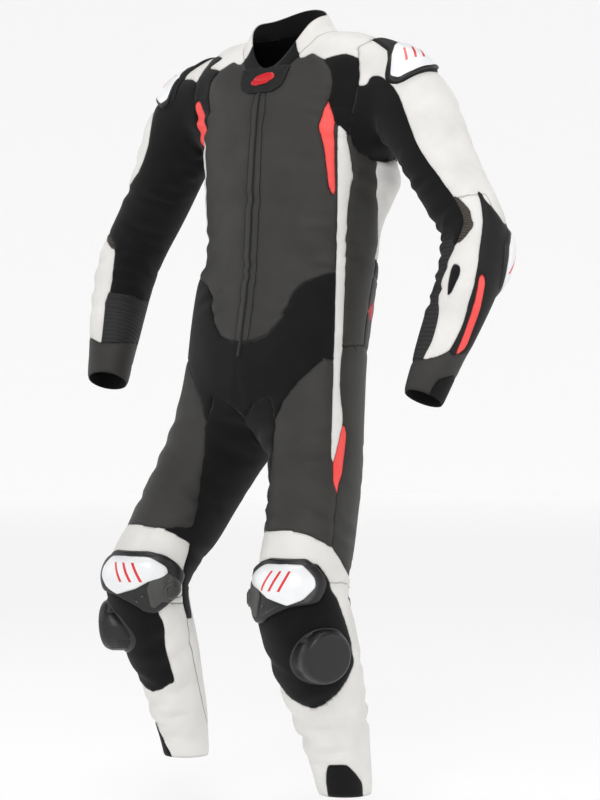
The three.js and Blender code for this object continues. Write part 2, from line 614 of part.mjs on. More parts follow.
// Moulded pieces of one knee: turn is the angle round the knee, z the height above the hems
const KNEE_PIECE_RINGS = 4;
const KNEE = {
  cup: { finish: "shell", turn: 2, z: 362, wide: 66, high: 50, power: 2.8, edge: 5, crown: 9, tilt: 0.12 },
  slider: { finish: "puck", turn: 52, z: 262, wide: 48, high: 48, power: 2, edge: 16, crown: 8, tilt: -0.08 },
  plate: { finish: "plate", turn: -74, z: 352, wide: 22, high: 26, power: 2.4, edge: 3, crown: 2, tilt: 0 },
};
for (const hand of [1, -1]) {
  const tag = hand > 0 ? "left" : "right";
  for (const piece of MOULDED) {
    const [x, y, z] = piece.at;
    const [fx, fy, fz] = piece.facing;
    const [ux, uy, uz] = piece.up;
    addMesh(`${piece.name}_${tag}`, mouldedPiece({
      at: [hand * x, y, z], facing: [hand * fx, fy, fz], up: [hand * ux, uy, uz],
      outline: rounded(piece.wide, piece.high, piece.power),
      rings: piece.rings, sectors: OUTLINE_POINTS,
      edge: piece.edge, crown: piece.crown,
    }), piece.finish);
  }
  for (const [part, piece] of Object.entries(KNEE)) {
    const turn = rad(piece.turn + STANCE[tag].turn);
    const kneecap = LEG[KNEE_RING - 1];
    const facing = [hand * Math.sin(turn), -Math.cos(turn), piece.tilt];
    addMesh(`knee_${part}_${tag}`, mouldedPiece({
      at: [
        hand * (kneecap.x + kneecap.wide * Math.sin(turn)),
        kneecap.y - kneecap.deep * Math.cos(turn),
        piece.z + STANCE[tag].lift * (1 - piece.z / LEG[0].z) + (part === "cup" ? STANCE[tag].cup : 0),
      ],
      facing, up: [0, 0, 1],
      outline: rounded(piece.wide, piece.high, piece.power),
      rings: KNEE_PIECE_RINGS, sectors: OUTLINE_POINTS,
      edge: piece.edge, crown: piece.crown,
    }), piece.finish);
  }
}

// Flap that covers the top of the zip
const FLAP = { wide: 47, high: 23, power: 7, rings: 4, sectors: 32, edge: 3, crown: 0.6 };
addMesh("zip_flap", mouldedPiece({
  ...FLAP, at: [0, -90, 1249], facing: [0, -1, 0.28], up: [0, 0, 1],
  outline: rounded(FLAP.wide, FLAP.high, FLAP.power),
}), "stretch");

export default suit;
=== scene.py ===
"""One-piece motorcycle race suit, hollow as it is worn, dressed over its CAD solids."""

import json
import logging
import math
from dataclasses import dataclass
from enum import Enum

import bmesh
import bpy
import numpy as np
from mathutils import Matrix, Vector
from mathutils.bvhtree import BVHTree
from mathutils.kdtree import KDTree


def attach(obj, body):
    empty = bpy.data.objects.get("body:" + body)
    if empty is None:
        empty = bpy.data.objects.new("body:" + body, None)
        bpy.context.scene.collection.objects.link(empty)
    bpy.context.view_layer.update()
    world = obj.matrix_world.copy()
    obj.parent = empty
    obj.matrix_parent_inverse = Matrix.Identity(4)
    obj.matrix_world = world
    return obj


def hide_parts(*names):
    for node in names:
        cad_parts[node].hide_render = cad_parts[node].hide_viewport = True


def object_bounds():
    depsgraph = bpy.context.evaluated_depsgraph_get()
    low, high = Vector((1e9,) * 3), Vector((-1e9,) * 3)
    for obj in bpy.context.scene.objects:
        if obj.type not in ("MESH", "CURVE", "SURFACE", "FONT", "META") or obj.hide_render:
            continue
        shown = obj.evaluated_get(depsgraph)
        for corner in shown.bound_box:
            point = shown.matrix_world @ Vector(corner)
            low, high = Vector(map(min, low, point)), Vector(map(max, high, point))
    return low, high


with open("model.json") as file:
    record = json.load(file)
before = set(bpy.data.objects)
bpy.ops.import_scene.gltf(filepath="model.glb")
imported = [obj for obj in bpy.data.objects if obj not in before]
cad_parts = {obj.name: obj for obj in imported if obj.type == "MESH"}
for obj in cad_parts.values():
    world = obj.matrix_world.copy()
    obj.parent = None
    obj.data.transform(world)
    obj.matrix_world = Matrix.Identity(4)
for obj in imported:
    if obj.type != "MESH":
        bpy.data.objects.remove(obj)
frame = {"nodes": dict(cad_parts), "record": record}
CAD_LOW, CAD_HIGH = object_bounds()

log = logging.getLogger("race_suit")

MM = 0.001
BODY = "root"
SIDES = {"left": 1.0, "right": -1.0}


class Slot(Enum):
    """Material slots of the record, kept with each cut and layer."""

    CHARCOAL = "charcoal_leather"
    WHITE = "white_leather"
    RED = "red_leather"
    BLACK = "black_leather"
    STRETCH = "stretch"
    GUSSET = "gusset"
    ZIP = "zip"
    SHELL = "shell"
    PUCK = "puck"
    PLATE = "plate"


def linear(hex_colour: str) -> tuple[float, float, float, float]:
    """Turn an sRGB hex colour into linear RGBA.

    Args:
        hex_colour: six hex digits after a hash sign.

    Returns:
        Red, green, blue and alpha, linear.
    """
    channels = [int(hex_colour[i:i + 2], 16) / 255 for i in (1, 3, 5)]
    levels = [c / 12.92 if c <= 0.04045 else ((c + 0.055) / 1.055) ** 2.4 for c in channels]
    return (*levels, 1.0)


def add_node(tree: bpy.types.NodeTree, kind: str, settings: dict | None = None, **inputs) -> bpy.types.Node:
    """Add a shader node with its settings, input values and links.

    Args:
        tree: the material's node tree.
        kind: the node's type name without the ShaderNode prefix.
        settings: attributes of the node itself.
        inputs: a value or an output socket for each input, by name with _ for a space,
            or by number as in0, in1 and so on.

    Returns:
        The new node.
    """
    node = tree.nodes.new(f"ShaderNode{kind}")
    for name, value in (settings or {}).items():
        setattr(node, name, value)
    for name, value in inputs.items():
        key = int(name[2:]) if name.startswith("in") and name[2:].isdigit() else name.replace("_", " ")
        socket = node.inputs[key]
        if isinstance(value, bpy.types.NodeSocket):
            tree.links.new(value, socket)
        else:
            socket.default_value = value
    return node


def calculate(
    tree: bpy.types.NodeTree, operation: str, *values: float | bpy.types.NodeSocket,
) -> bpy.types.NodeSocket:
    """Add a step of arithmetic.

    Args:
        tree: the material's tree.
        operation: Blender's name of the operation.
        values: numbers or outputs, in order.

    Returns:
        The result.
    """
    inputs = {f"in{number}": value for number, value in enumerate(values)}
    return add_node(tree, "Math", {"operation": operation}, **inputs).outputs[0]


def blend(
    tree: bpy.types.NodeTree, share: bpy.types.NodeSocket,
    low: tuple | bpy.types.NodeSocket, high: tuple | bpy.types.NodeSocket,
) -> bpy.types.NodeSocket:
    """Mix two colours.

    Args:
        tree: the material's tree.
        share: how much of the second colour shows.
        low: the first colour.
        high: the second colour.

    Returns:
        The colour output.
    """
    return add_node(tree, "Mix", {"data_type": "RGBA"}, in0=share, in6=low, in7=high).outputs[2]


def raised(
    tree: bpy.types.NodeTree, height: bpy.types.NodeSocket, strength: float, depth_mm: float,
    under: bpy.types.NodeSocket | None = None,
) -> bpy.types.NodeSocket:
    """Turn a height pattern into relief.

    Args:
        tree: the material's tree.
        height: the pattern.
        strength: how strongly it shows.
        depth_mm: its depth.
        under: relief that it lies on, if any.

    Returns:
        The surface direction.
    """
    inputs = {} if under is None else {"Normal": under}
    bump = add_node(tree, "Bump", Height=height, Strength=strength, Distance=depth_mm * MM, **inputs)
    return bump.outputs[0]


# Scale that gives a wave texture one band in each metre
WAVE_SCALE = 0.314


def waves(
    tree: bpy.types.NodeTree, where: bpy.types.NodeSocket, direction: str, pitch_mm: float,
    distortion: float = 0.0,
) -> bpy.types.NodeSocket:
    """Add even bands.

    Args:
        tree: the material's tree.
        where: the coordinates.
        direction: the way that the bands follow each other.
        pitch_mm: distance from band to band.
        distortion: how far they stray.

    Returns:
        The height output.
    """
    return add_node(
        tree, "TexWave", {"bands_direction": direction}, Vector=where,
        Scale=WAVE_SCALE / (pitch_mm * MM), Distortion=distortion,
    ).outputs["Fac"]


@dataclass(frozen=True)
class Finish:
    """What every finish has: a name, two close shades and a roughness. On accordion leather the darker shade
    is painted shade for the rib grooves.
    """

    name: str
    shade: str
    dark: str
    roughness: float

    MOTTLE_FROM = 0.35
    MOTTLE_TO = 0.7

    def start(self) -> tuple[bpy.types.Material, bpy.types.NodeTree, bpy.types.Node, bpy.types.Node]:
        """Make the material with its shader and its coordinates.

        Returns:
            The material, its tree, the shader node and the coordinate node.
        """
        material = bpy.data.materials.new(self.name)
        material.use_nodes = True
        tree = material.node_tree
        tree.nodes.clear()
        shader = add_node(tree, "BsdfPrincipled", Roughness=self.roughness)
        add_node(tree, "OutputMaterial", Surface=shader.outputs[0])
        place = add_node(tree, "TexCoord")
        material.diffuse_color = linear(self.shade)
        return material, tree, shader, place

    def mottled(
        self, tree: bpy.types.NodeTree, place: bpy.types.Node, size_mm: float,
    ) -> bpy.types.NodeSocket:
        """Vary the colour softly between the two shades.

        Args:
            tree: the material's tree.
            place: the coordinate node.
            size_mm: size of the patches.

        Returns:
            The colour output.
        """
        in_object = place.outputs["Object"]
        noise = add_node(tree, "TexNoise", Vector=in_object, Scale=1 / (size_mm * MM), Detail=4.0)
        spread = add_node(
            tree, "MapRange", Value=noise.outputs[0], From_Min=self.MOTTLE_FROM, From_Max=self.MOTTLE_TO,
        )
        return blend(tree, spread.outputs[0], linear(self.shade), linear(self.dark))


@dataclass(frozen=True)
class Leather(Finish):
    """Cowhide, tumbled and pigment coated: pebbled grain, softly uneven colour, and painted shade that
    darkens the grooves of the seams.
    """

    grain_mm: float = 2.0
    depth_mm: float = 0.35
    # Colour painted along the seams: painted shade in the seam grooves; on the zipped white it also stands
    # for the dark zip line
    seam_line_and_painted_shade: str = "#1a1918"

    MOTTLE_MM = 70.0
    # Reach from the seam and strength of the painted seam shade
    SEAM_PAINTED_SHADE_MM = (0.2, 1.9)
    SEAM_PAINTED_SHADE_STRENGTH = 0.85
    PORE_SHARE = 0.22
    FINE_GRAIN_MM = 0.9
    FINE_SHARE = 0.3
    GRAIN_STRENGTH = 0.55
    DRAPE_MM = 34
    DRAPE_DEPTH_MM = 2.2
    DRAPE_STRENGTH = 0.5
    STITCH_DEPTH_MM = 0.5
    STITCH_STRENGTH = 0.8
    STITCH_FROM_SEAM_MM = 3.6
    STITCH_WIDTH_MM = 0.55
    STITCH_LENGTH_MM = 3.0
    POLISH = (-0.07, 0.1)
    SPECULAR = 0.36

    def build(self) -> bpy.types.Material:
        """Make the material.

        Returns:
            The material.
        """
        material, tree, shader, place = self.start()
        in_object = place.outputs["Object"]
        seam = add_node(tree, "Attribute", {"attribute_name": "seam_mm"}).outputs["Fac"]
        # Painted shade: the colour darkens towards each seam, where the pressed-in groove falls into shade
        near, far = self.SEAM_PAINTED_SHADE_MM
        seam_painted_shade = add_node(
            tree, "MapRange", {"clamp": True}, Value=seam,
            From_Min=near, From_Max=far, To_Min=self.SEAM_PAINTED_SHADE_STRENGTH, To_Max=0.0,
        )
        hide = self.mottled(tree, place, self.MOTTLE_MM)
        colour = blend(tree, seam_painted_shade.outputs[0], hide, linear(self.seam_line_and_painted_shade))
        tree.links.new(colour, shader.inputs["Base Color"])
        pebble = add_node(
            tree, "TexVoronoi", {"feature": "DISTANCE_TO_EDGE"},
            Vector=in_object, Scale=1 / (self.grain_mm * MM),
        )
        pore = add_node(tree, "MapRange", {"clamp": True}, Value=pebble.outputs[0], From_Max=self.PORE_SHARE)
        fine = add_node(tree, "TexNoise", Vector=in_object, Scale=1 / (self.FINE_GRAIN_MM * MM), Detail=3.0)
        grain = calculate(tree, "MULTIPLY_ADD", fine.outputs[0], self.FINE_SHARE, pore.outputs[0])
        drape = add_node(tree, "TexNoise", Vector=in_object, Scale=1 / (self.DRAPE_MM * MM), Detail=1.0)
        relief = raised(tree, drape.outputs[0], self.DRAPE_STRENGTH, self.DRAPE_DEPTH_MM)
        stitches = self.stitches(tree, in_object, seam)
        relief = raised(tree, stitches, self.STITCH_STRENGTH, self.STITCH_DEPTH_MM, relief)
        relief = raised(tree, grain, self.GRAIN_STRENGTH, self.depth_mm, relief)
        tree.links.new(relief, shader.inputs["Normal"])
        smoother, rougher = self.POLISH
        rough = add_node(
            tree, "MapRange", Value=fine.outputs[0],
            To_Min=self.roughness + smoother, To_Max=self.roughness + rougher,
        )
        tree.links.new(rough.outputs[0], shader.inputs["Roughness"])
        shader.inputs["Specular IOR Level"].default_value = self.SPECULAR
        return material

    def stitches(
        self, tree: bpy.types.NodeTree, in_object: bpy.types.NodeSocket, seam: bpy.types.NodeSocket,
    ) -> bpy.types.NodeSocket:
        """Sew one row of stitches beside every seam.

        Args:
            tree: the material's tree.
            in_object: the object's coordinates.
            seam: distance from the seam in millimetres.

        Returns:
            The height output.
        """
        away = calculate(tree, "ABSOLUTE", calculate(tree, "SUBTRACT", seam, self.STITCH_FROM_SEAM_MM))
        row = add_node(
            tree, "MapRange", {"clamp": True}, Value=away,
            From_Max=self.STITCH_WIDTH_MM, To_Min=1.0, To_Max=0.0,
        )
        beat = waves(tree, in_object, "DIAGONAL", self.STITCH_LENGTH_MM)
        return calculate(tree, "MULTIPLY", row.outputs[0], beat)


@dataclass(frozen=True)
class StretchCloth(Finish):
    """Woven aramid stretch cloth: matt, with a fine two-way weave and a soft sheen."""

    thread_mm: float = 1.6

    MOTTLE_MM = 40.0
    STRAY = 0.6
    WEAVE_STRENGTH = 0.5
    WEAVE_DEPTH_MM = 0.3
    SHEEN = 0.08
    SHEEN_ROUGHNESS = 0.5
    SPECULAR = 0.25

    def build(self) -> bpy.types.Material:
        """Make the material.

        Returns:
            The material.
        """
        material, tree, shader, place = self.start()
        tree.links.new(self.mottled(tree, place, self.MOTTLE_MM), shader.inputs["Base Color"])
        across, along = (
            waves(tree, place.outputs["UV"], direction, self.thread_mm, self.STRAY) for direction in "XY"
        )
        weave = calculate(tree, "MULTIPLY", across, along)
        relief = raised(tree, weave, self.WEAVE_STRENGTH, self.WEAVE_DEPTH_MM)
        tree.links.new(relief, shader.inputs["Normal"])
        shader.inputs["Sheen Weight"].default_value = self.SHEEN
        shader.inputs["Sheen Roughness"].default_value = self.SHEEN_ROUGHNESS
        shader.inputs["Specular IOR Level"].default_value = self.SPECULAR
        return material


@dataclass(frozen=True)
class RibbedLeather(Finish):
    """Accordion leather: thin hide stitched over elastic in narrow ribs that run round the limb, with painted
    shade darkening the grooves between the ribs.
    """

    rib_mm: float = 8.0

    STRAY = 0.35
    GROOVE_PAINTED_SHADE_SHARE = 0.45
    RIB_STRENGTH = 0.9
    RIB_DEPTH_MM = 1.6

    def build(self) -> bpy.types.Material:
        """Make the material.

        Returns:
            The material.
        """
        material, tree, shader, place = self.start()
        ribs = waves(tree, place.outputs["UV"], "Y", self.rib_mm, self.STRAY)
        # Painted shade: the grooves between the ribs take the darker colour
        rib_groove_painted_shade = add_node(tree, "MapRange", {"clamp": True}, Value=ribs, From_Max=self.GROOVE_PAINTED_SHADE_SHARE)
        colour = blend(tree, rib_groove_painted_shade.outputs[0], linear(self.dark), linear(self.shade))
        tree.links.new(colour, shader.inputs["Base Color"])
        relief = raised(tree, ribs, self.RIB_STRENGTH, self.RIB_DEPTH_MM)
        tree.links.new(relief, shader.inputs["Normal"])
        return material


@dataclass(frozen=True)
class Moulded(Finish):
    """Injection-moulded polymer: even colour, a fine satin grain and, on shells, a clear coat.

    stripe is the colour of printed bars, if any, and stripe_mm their pitch, half width and half height.
    """

    coat: float = 0.0
    grain_mm: float = 0.6
    stripe: str | None = None
    stripe_mm: tuple[float, float, float] = (0.0, 0.0, 0.0)

    MOTTLE_MM = 30.0
    GRAIN_STRENGTH = 0.2
    GRAIN_DEPTH_MM = 0.1
    COAT_ROUGHNESS = 0.08
    BAR_SLANT = -0.45
    BARS_REACH = 2.6

    def build(self) -> bpy.types.Material:
        """Make the material.

        Returns:
            The material.
        """
        material, tree, shader, place = self.start()
        colour = self.mottled(tree, place, self.MOTTLE_MM)
        if self.stripe:
            colour = self.bars(tree, place, colour)
        tree.links.new(colour, shader.inputs["Base Color"])
        grain = add_node(tree, "TexNoise", Vector=place.outputs["Object"], Scale=1 / (self.grain_mm * MM))
        relief = raised(tree, grain.outputs[0], self.GRAIN_STRENGTH, self.GRAIN_DEPTH_MM)
        tree.links.new(relief, shader.inputs["Normal"])
        shader.inputs["Coat Weight"].default_value = self.coat
        shader.inputs["Coat Roughness"].default_value = self.COAT_ROUGHNESS
        return material

    def bars(
        self, tree: bpy.types.NodeTree, place: bpy.types.Node, base: bpy.types.NodeSocket,
    ) -> bpy.types.NodeSocket:
        """Paint plain slanting bars on the shell's face.

        Args:
            tree: the material's tree.
            place: the coordinate node.
            base: colour under the bars.

        Returns:
            The colour output.
        """
        pitch, width, half_height = (value * MM for value in self.stripe_mm)
        split = add_node(tree, "SeparateXYZ", Vector=place.outputs["UV"])
        aside, up = split.outputs[0], split.outputs[1]
        slant = calculate(tree, "MULTIPLY_ADD", up, self.BAR_SLANT, aside)
        in_bar = calculate(tree, "LESS_THAN", calculate(tree, "PINGPONG", slant, pitch), width)
        in_row = calculate(tree, "LESS_THAN", calculate(tree, "ABSOLUTE", slant), self.BARS_REACH * pitch)
        in_height = calculate(tree, "LESS_THAN", calculate(tree, "ABSOLUTE", up), half_height)
        mask = calculate(tree, "MULTIPLY", calculate(tree, "MULTIPLY", in_bar, in_row), in_height)
        return blend(tree, mask, base, linear(self.stripe))


# Leather: pigment-coated cowhide, pebbled, 1.2 mm thick, so highlights are soft and broken up
# Each leather's seam colour is painted shade for its seam grooves
CHARCOAL = Leather("cowhide_charcoal", "#31302e", "#292826", 0.52, seam_line_and_painted_shade="#0f0f0e")
WHITE = Leather("cowhide_white", "#e4e2df", "#d8d6d2", 0.5, depth_mm=0.22, seam_line_and_painted_shade="#aeaca8")
# The zipped white's dark seam colour stands for the calf's zip line as well as the painted shade in the
# grooves
WHITE_BY_ZIP = Leather("cowhide_white_zipped", "#e4e2df", "#d8d6d2", 0.5, depth_mm=0.22, seam_line_and_painted_shade="#232322")
RED = Leather("cowhide_coral", "#fb5a55", "#ee4a46", 0.48, depth_mm=0.25, seam_line_and_painted_shade="#8a211f")
DEEP_RED = Leather("cowhide_red", "#c4242c", "#a81d26", 0.48, depth_mm=0.25, seam_line_and_painted_shade="#5e1216")
BLACK = Leather("cowhide_black", "#0c0c0d", "#08080a", 0.6, seam_line_and_painted_shade="#050505")
# Woven aramid stretch cloth swallows light and shows only a faint sheen
CLOTH = StretchCloth("aramid_stretch", "#0f0f11", "#0b0b0c", 0.95)
VELOUR = StretchCloth("hook_velour", "#0d0d0e", "#08080a", 1.0, thread_mm=2.4)
LINING = StretchCloth("mesh_lining", "#17171a", "#0e0e10", 0.95, thread_mm=3.2)
# Accordion leather catches light on each rib; the darker colour in its grooves is painted shade
RIBBED = RibbedLeather("accordion_hide", "#463f37", "#221f1b", 0.72, rib_mm=5.0)
RIBBED_BLACK = RibbedLeather("accordion_hide_black", "#1d1d1e", "#0a0a0b", 0.7)
# Gloss polycarbonate shells with printed bars, soft rubber rims, hard nylon pucks
SHELL_BARS = Moulded(
    "polycarbonate_white_barred", "#eeeff0", "#e8e9eb", 0.3, coat=0.3,
    stripe="#d9262e", stripe_mm=(8.5, 2.4, 17.0),
)
RUBBER = Moulded("rubber_black", "#121213", "#0c0c0d", 0.42)
NYLON = Moulded("nylon_puck", "#131315", "#0e0e10", 0.4, grain_mm=1.4)
PLATE = Moulded("nylon_plate", "#464643", "#3d3d3b", 0.4)
PLATE_DARK = Moulded("nylon_disc", "#373735", "#2f2f2d", 0.45)
TAPE = Moulded("zip_tape", "#0f0f10", "#0a0a0b", 0.8)
BADGE = Moulded("rubber_badge_red", "#cf121d", "#bb0f19", 0.4)
ZIP_METAL = Moulded("zip_teeth", "#3a3a3d", "#2c2c2f", 0.3, coat=0.4)


class FinishBook:
    """Keeps one material for each finish."""

    def __init__(self) -> None:
        """Start with no materials."""
        self.made: dict[str, bpy.types.Material] = {}

    def get(self, finish: Finish) -> bpy.types.Material:
        """Give the finish's material, made once.

        Args:
            finish: the finish.

        Returns:
            Its material.
        """
        if finish.name not in self.made:
            self.made[finish.name] = finish.build()
        return self.made[finish.name]


@dataclass(frozen=True)
class Cut:
    """How one kind of panel is finished."""

    finish: Finish
    slot: Slot
    loft_mm: float = 0.0


CUTS = {
    "zip_panel": Cut(CHARCOAL, Slot.ZIP, 1.4),
    "collar_front": Cut(CLOTH, Slot.STRETCH, 0.6),
    "collar_back": Cut(WHITE, Slot.WHITE, 1.2),
    "front": Cut(CHARCOAL, Slot.CHARCOAL, 1.0),
    "chest_stretch": Cut(CLOTH, Slot.STRETCH, 0.6),
    "yoke": Cut(WHITE, Slot.WHITE, 1.6),
    "chest_insert": Cut(RED, Slot.RED, 1.0),
    "side_stripe": Cut(WHITE, Slot.WHITE, 0.8),
    "side_panel": Cut(CHARCOAL, Slot.CHARCOAL, 1.0),
    "back_side": Cut(WHITE, Slot.WHITE, 1.2),
    "back_centre": Cut(CHARCOAL, Slot.CHARCOAL, 1.4),
    "lower_back_stretch": Cut(RIBBED_BLACK, Slot.STRETCH, 1.4),
    "abdomen_stretch": Cut(CLOTH, Slot.STRETCH, 0.8),
    "seat": Cut(CHARCOAL, Slot.CHARCOAL, 1.2),
    "sleeve_outer": Cut(WHITE, Slot.WHITE, 1.4),
    "sleeve_inner": Cut(CLOTH, Slot.STRETCH, 0.8),
    "elbow_gusset": Cut(RIBBED, Slot.GUSSET, 2.0),
    "elbow_guard": Cut(BLACK, Slot.CHARCOAL, 1.6),
    "forearm_front": Cut(WHITE, Slot.WHITE, 1.2),
    "forearm_inner": Cut(RIBBED_BLACK, Slot.CHARCOAL, 1.0),
    "cuff": Cut(CHARCOAL, Slot.CHARCOAL, 0.8),
    "thigh_front": Cut(CHARCOAL, Slot.CHARCOAL, 1.4),
    "thigh_outer": Cut(CHARCOAL, Slot.CHARCOAL, 1.2),
    "leg_inner": Cut(CLOTH, Slot.STRETCH, 0.8),
    "knee_band": Cut(WHITE, Slot.WHITE, 1.8),
    "knee_panel": Cut(VELOUR, Slot.BLACK, 1.2),
    "calf_outer": Cut(WHITE, Slot.WHITE, 1.0),
    "calf_inner": Cut(WHITE_BY_ZIP, Slot.WHITE, 1.0),
    "thigh_insert": Cut(RED, Slot.RED, 0.8),
    "hip_insert": Cut(DEEP_RED, Slot.RED, 0.8),
    "ankle_gusset": Cut(CLOTH, Slot.STRETCH, 0.4),
    "forearm_stripe": Cut(RED, Slot.RED, 0.9),
    "forearm_tab": Cut(LINING, Slot.STRETCH, 0.4),
    "cuff_gusset": Cut(CLOTH, Slot.STRETCH, 0.2),
}


class Line:
    """The line through the middle of a trunk or limb, from the hollows that the frame states."""

    def __init__(self, names: list[str]) -> None:
        """Take the middles of the named hollows.

        Args:
            names: openings of the frame's record, in order from the neck outwards.
        """
        boxes = {entry["name"]: np.array(entry["box_m"]) for entry in frame["record"]["physics"]["openings"]}
        self.points = np.array([boxes[name].mean(axis=0) for name in names])
        ends = self.points
        first = ends[0] + (ends[0] - ends[1])
        last = ends[-1] + (ends[-1] - ends[-2])
        self.points = np.vstack([first, ends, last])
        self.steps = np.linalg.norm(np.diff(self.points, axis=0), axis=1)

    def measure(self, co: np.ndarray) -> tuple[np.ndarray, np.ndarray, np.ndarray, np.ndarray]:
        """Measure points along and round the line.

        Args:
            co: points, one a row, in metres.

        Returns:
            Distance along the line from its first hollow, angle from the front towards the
            wearer's left in degrees, distance from the line, and the nearest points on it.
        """
        best = np.full(len(co), np.inf)
        along = np.zeros(len(co))
        foot = np.zeros_like(co)
        travelled = -self.steps[0]
        for a, b, step in zip(self.points[:-1], self.points[1:], self.steps):
            share = np.clip(((co - a) @ (b - a)) / step ** 2, 0, 1)
            here = a + share[:, None] * (b - a)
            gap = np.linalg.norm(co - here, axis=1)
            nearer = gap < best
            best[nearer] = gap[nearer]
            along[nearer] = travelled + share[nearer] * step
            foot[nearer] = here[nearer]
            travelled += step
        away = co - foot
        angle = np.degrees(np.arctan2(away[:, 0], -away[:, 1]))
        return along, angle, best, foot


TRUNK = ["neck", "shoulders", "chest", "waist", "belly", "hips"]
ARM = ["upper_sleeve", "mid_sleeve", "elbow", "forearm", "cuff"]
LEG = ["thigh", "lower_thigh", "knee", "shin", "ankle"]
ARM_PANELS = ("sleeve", "elbow", "forearm", "cuff")
LEG_PANELS = ("thigh", "leg", "knee", "calf")


def region_of(panel: str) -> str:
    """Say which trunk or limb a panel belongs to.

    Args:
        panel: the panel's name, with its side.

    Returns:
        trunk, or arm or leg with its side.
    """
    tag = panel.rsplit("_", 1)[-1]
    if panel.startswith(ARM_PANELS):
        return f"arm_{tag}"
    if panel.startswith(LEG_PANELS):
        return f"leg_{tag}"
    return "trunk"


@dataclass(frozen=True)
class Crease:
    """One soft trough (minus) or ridge (plus), round a trunk or limb.

    at_mm runs down the line, turn is the angle of its middle from the front, span its reach to
    each side, slant how far it drops over its reach, bow how far its ends hang below its middle.
    """

    at_mm: float
    turn: float
    span: float
    depth_mm: float
    width_mm: float = 7.0
    slant_mm: float = 0.0
    bow_mm: float = 0.0

    GAIN = 1.5
    LIP_SHARE = 0.6
    LIP_AT = 1.9

    def height(self, along: np.ndarray, angle: np.ndarray) -> np.ndarray:
        """Work out how far the crease moves each point outwards.

        Args:
            along: distance along the line, metres.
            angle: angle round the line, degrees.

        Returns:
            Outward move in metres.
        """
        off = (angle - self.turn + 180) % 360 - 180
        reach = np.clip(off / self.span, -1.2, 1.2)
        centre = (self.at_mm + self.slant_mm * reach + self.bow_mm * reach ** 2) * MM
        fade = np.clip(1 - np.abs(reach) ** 2, 0, None) ** 1.2
        cross = (along - centre) / (self.width_mm * MM * (0.75 + 0.5 * fade))
        trough = self.GAIN * np.exp(-cross ** 2)
        lips = self.LIP_SHARE * (np.exp(-(cross - self.LIP_AT) ** 2) + np.exp(-(cross + self.LIP_AT) ** 2))
        return self.depth_mm * MM * fade * (trough - lips)


# Creases by trunk or limb. Turns are for the wearer's left side and mirrored for the right.
TRUNK_CREASES = [
    Crease(252, 116, 32, 9.0, 40, 0),
    Crease(150, 62, 26, -3.2, 8, 14), Crease(176, 58, 20, -2.2, 7, 12), Crease(128, 55, 18, -2.0, 7, 10),
    Crease(205, 78, 30, -2.4, 9, -10), Crease(262, 84, 34, -1.8, 9, -8), Crease(300, 92, 40, -2.2, 9, 8),
    Crease(330, 20, 40, -1.6, 9, 4, -6), Crease(352, 40, 34, -1.5, 8, 6), Crease(388, 70, 36, -2.2, 8, 8),
    Crease(412, 84, 34, -2.0, 8, -6), Crease(250, 34, 34, -1.2, 11, 8), Crease(98, 30, 20, -1.0, 9, 8),
    Crease(448, 14, 26, -2.2, 7, 0, -8), Crease(470, 26, 24, -2.0, 7, 8, -6),
    Crease(492, 12, 22, -2.4, 7, 4, -10),
    Crease(520, 34, 24, -2.6, 8, 18), Crease(545, 20, 22, -2.4, 7, 16), Crease(432, 58, 26, -1.8, 8, 10),
    Crease(180, 120, 30, -2.6, 9, 12), Crease(230, 130, 34, -2.0, 10, -8), Crease(290, 140, 36, -2.4, 9, 6),
    Crease(330, 150, 40, -2.6, 9, 6), Crease(372, 150, 40, -2.2, 8, -6), Crease(470, 140, 36, -2.0, 9, 10),
    Crease(520, 150, 34, -2.6, 9, 14), Crease(560, 140, 30, -3.0, 9, 16),
]
ARM_CREASES = [
    Crease(-36, -62, 34, -3.4, 9, 10), Crease(-10, -70, 36, -3.0, 8, -8), Crease(22, -84, 40, -3.2, 8, 8),
    Crease(48, -60, 42, -2.6, 8, 10), Crease(74, -74, 40, -3.0, 8, -8), Crease(98, -50, 40, -2.6, 7, 8),
    Crease(40, 60, 44, -1.4, 10, 8), Crease(84, 50, 44, -1.6, 9, -8), Crease(128, -30, 46, -3.0, 7, 6),
    Crease(146, 40, 44, -2.0, 8, 6), Crease(196, -40, 50, -3.2, 7, 6), Crease(216, -60, 46, -2.8, 7, -6),
    Crease(262, -46, 44, -2.4, 8, 8), Crease(296, -62, 44, -2.8, 8, -6), Crease(322, -40, 46, -3.0, 7, 8),
    Crease(344, -56, 50, -3.2, 7, -6), Crease(366, -44, 52, -3.2, 7, 6), Crease(390, -52, 46, -2.6, 7, 5),
    Crease(286, 40, 40, -1.6, 9, 8), Crease(338, 46, 42, -1.8, 9, -6), Crease(376, 36, 40, -1.6, 8, 5),
    Crease(30, 150, 50, -2.4, 9, 8), Crease(92, 160, 50, -2.2, 9, -6), Crease(300, 170, 50, -2.2, 9, 8),
]
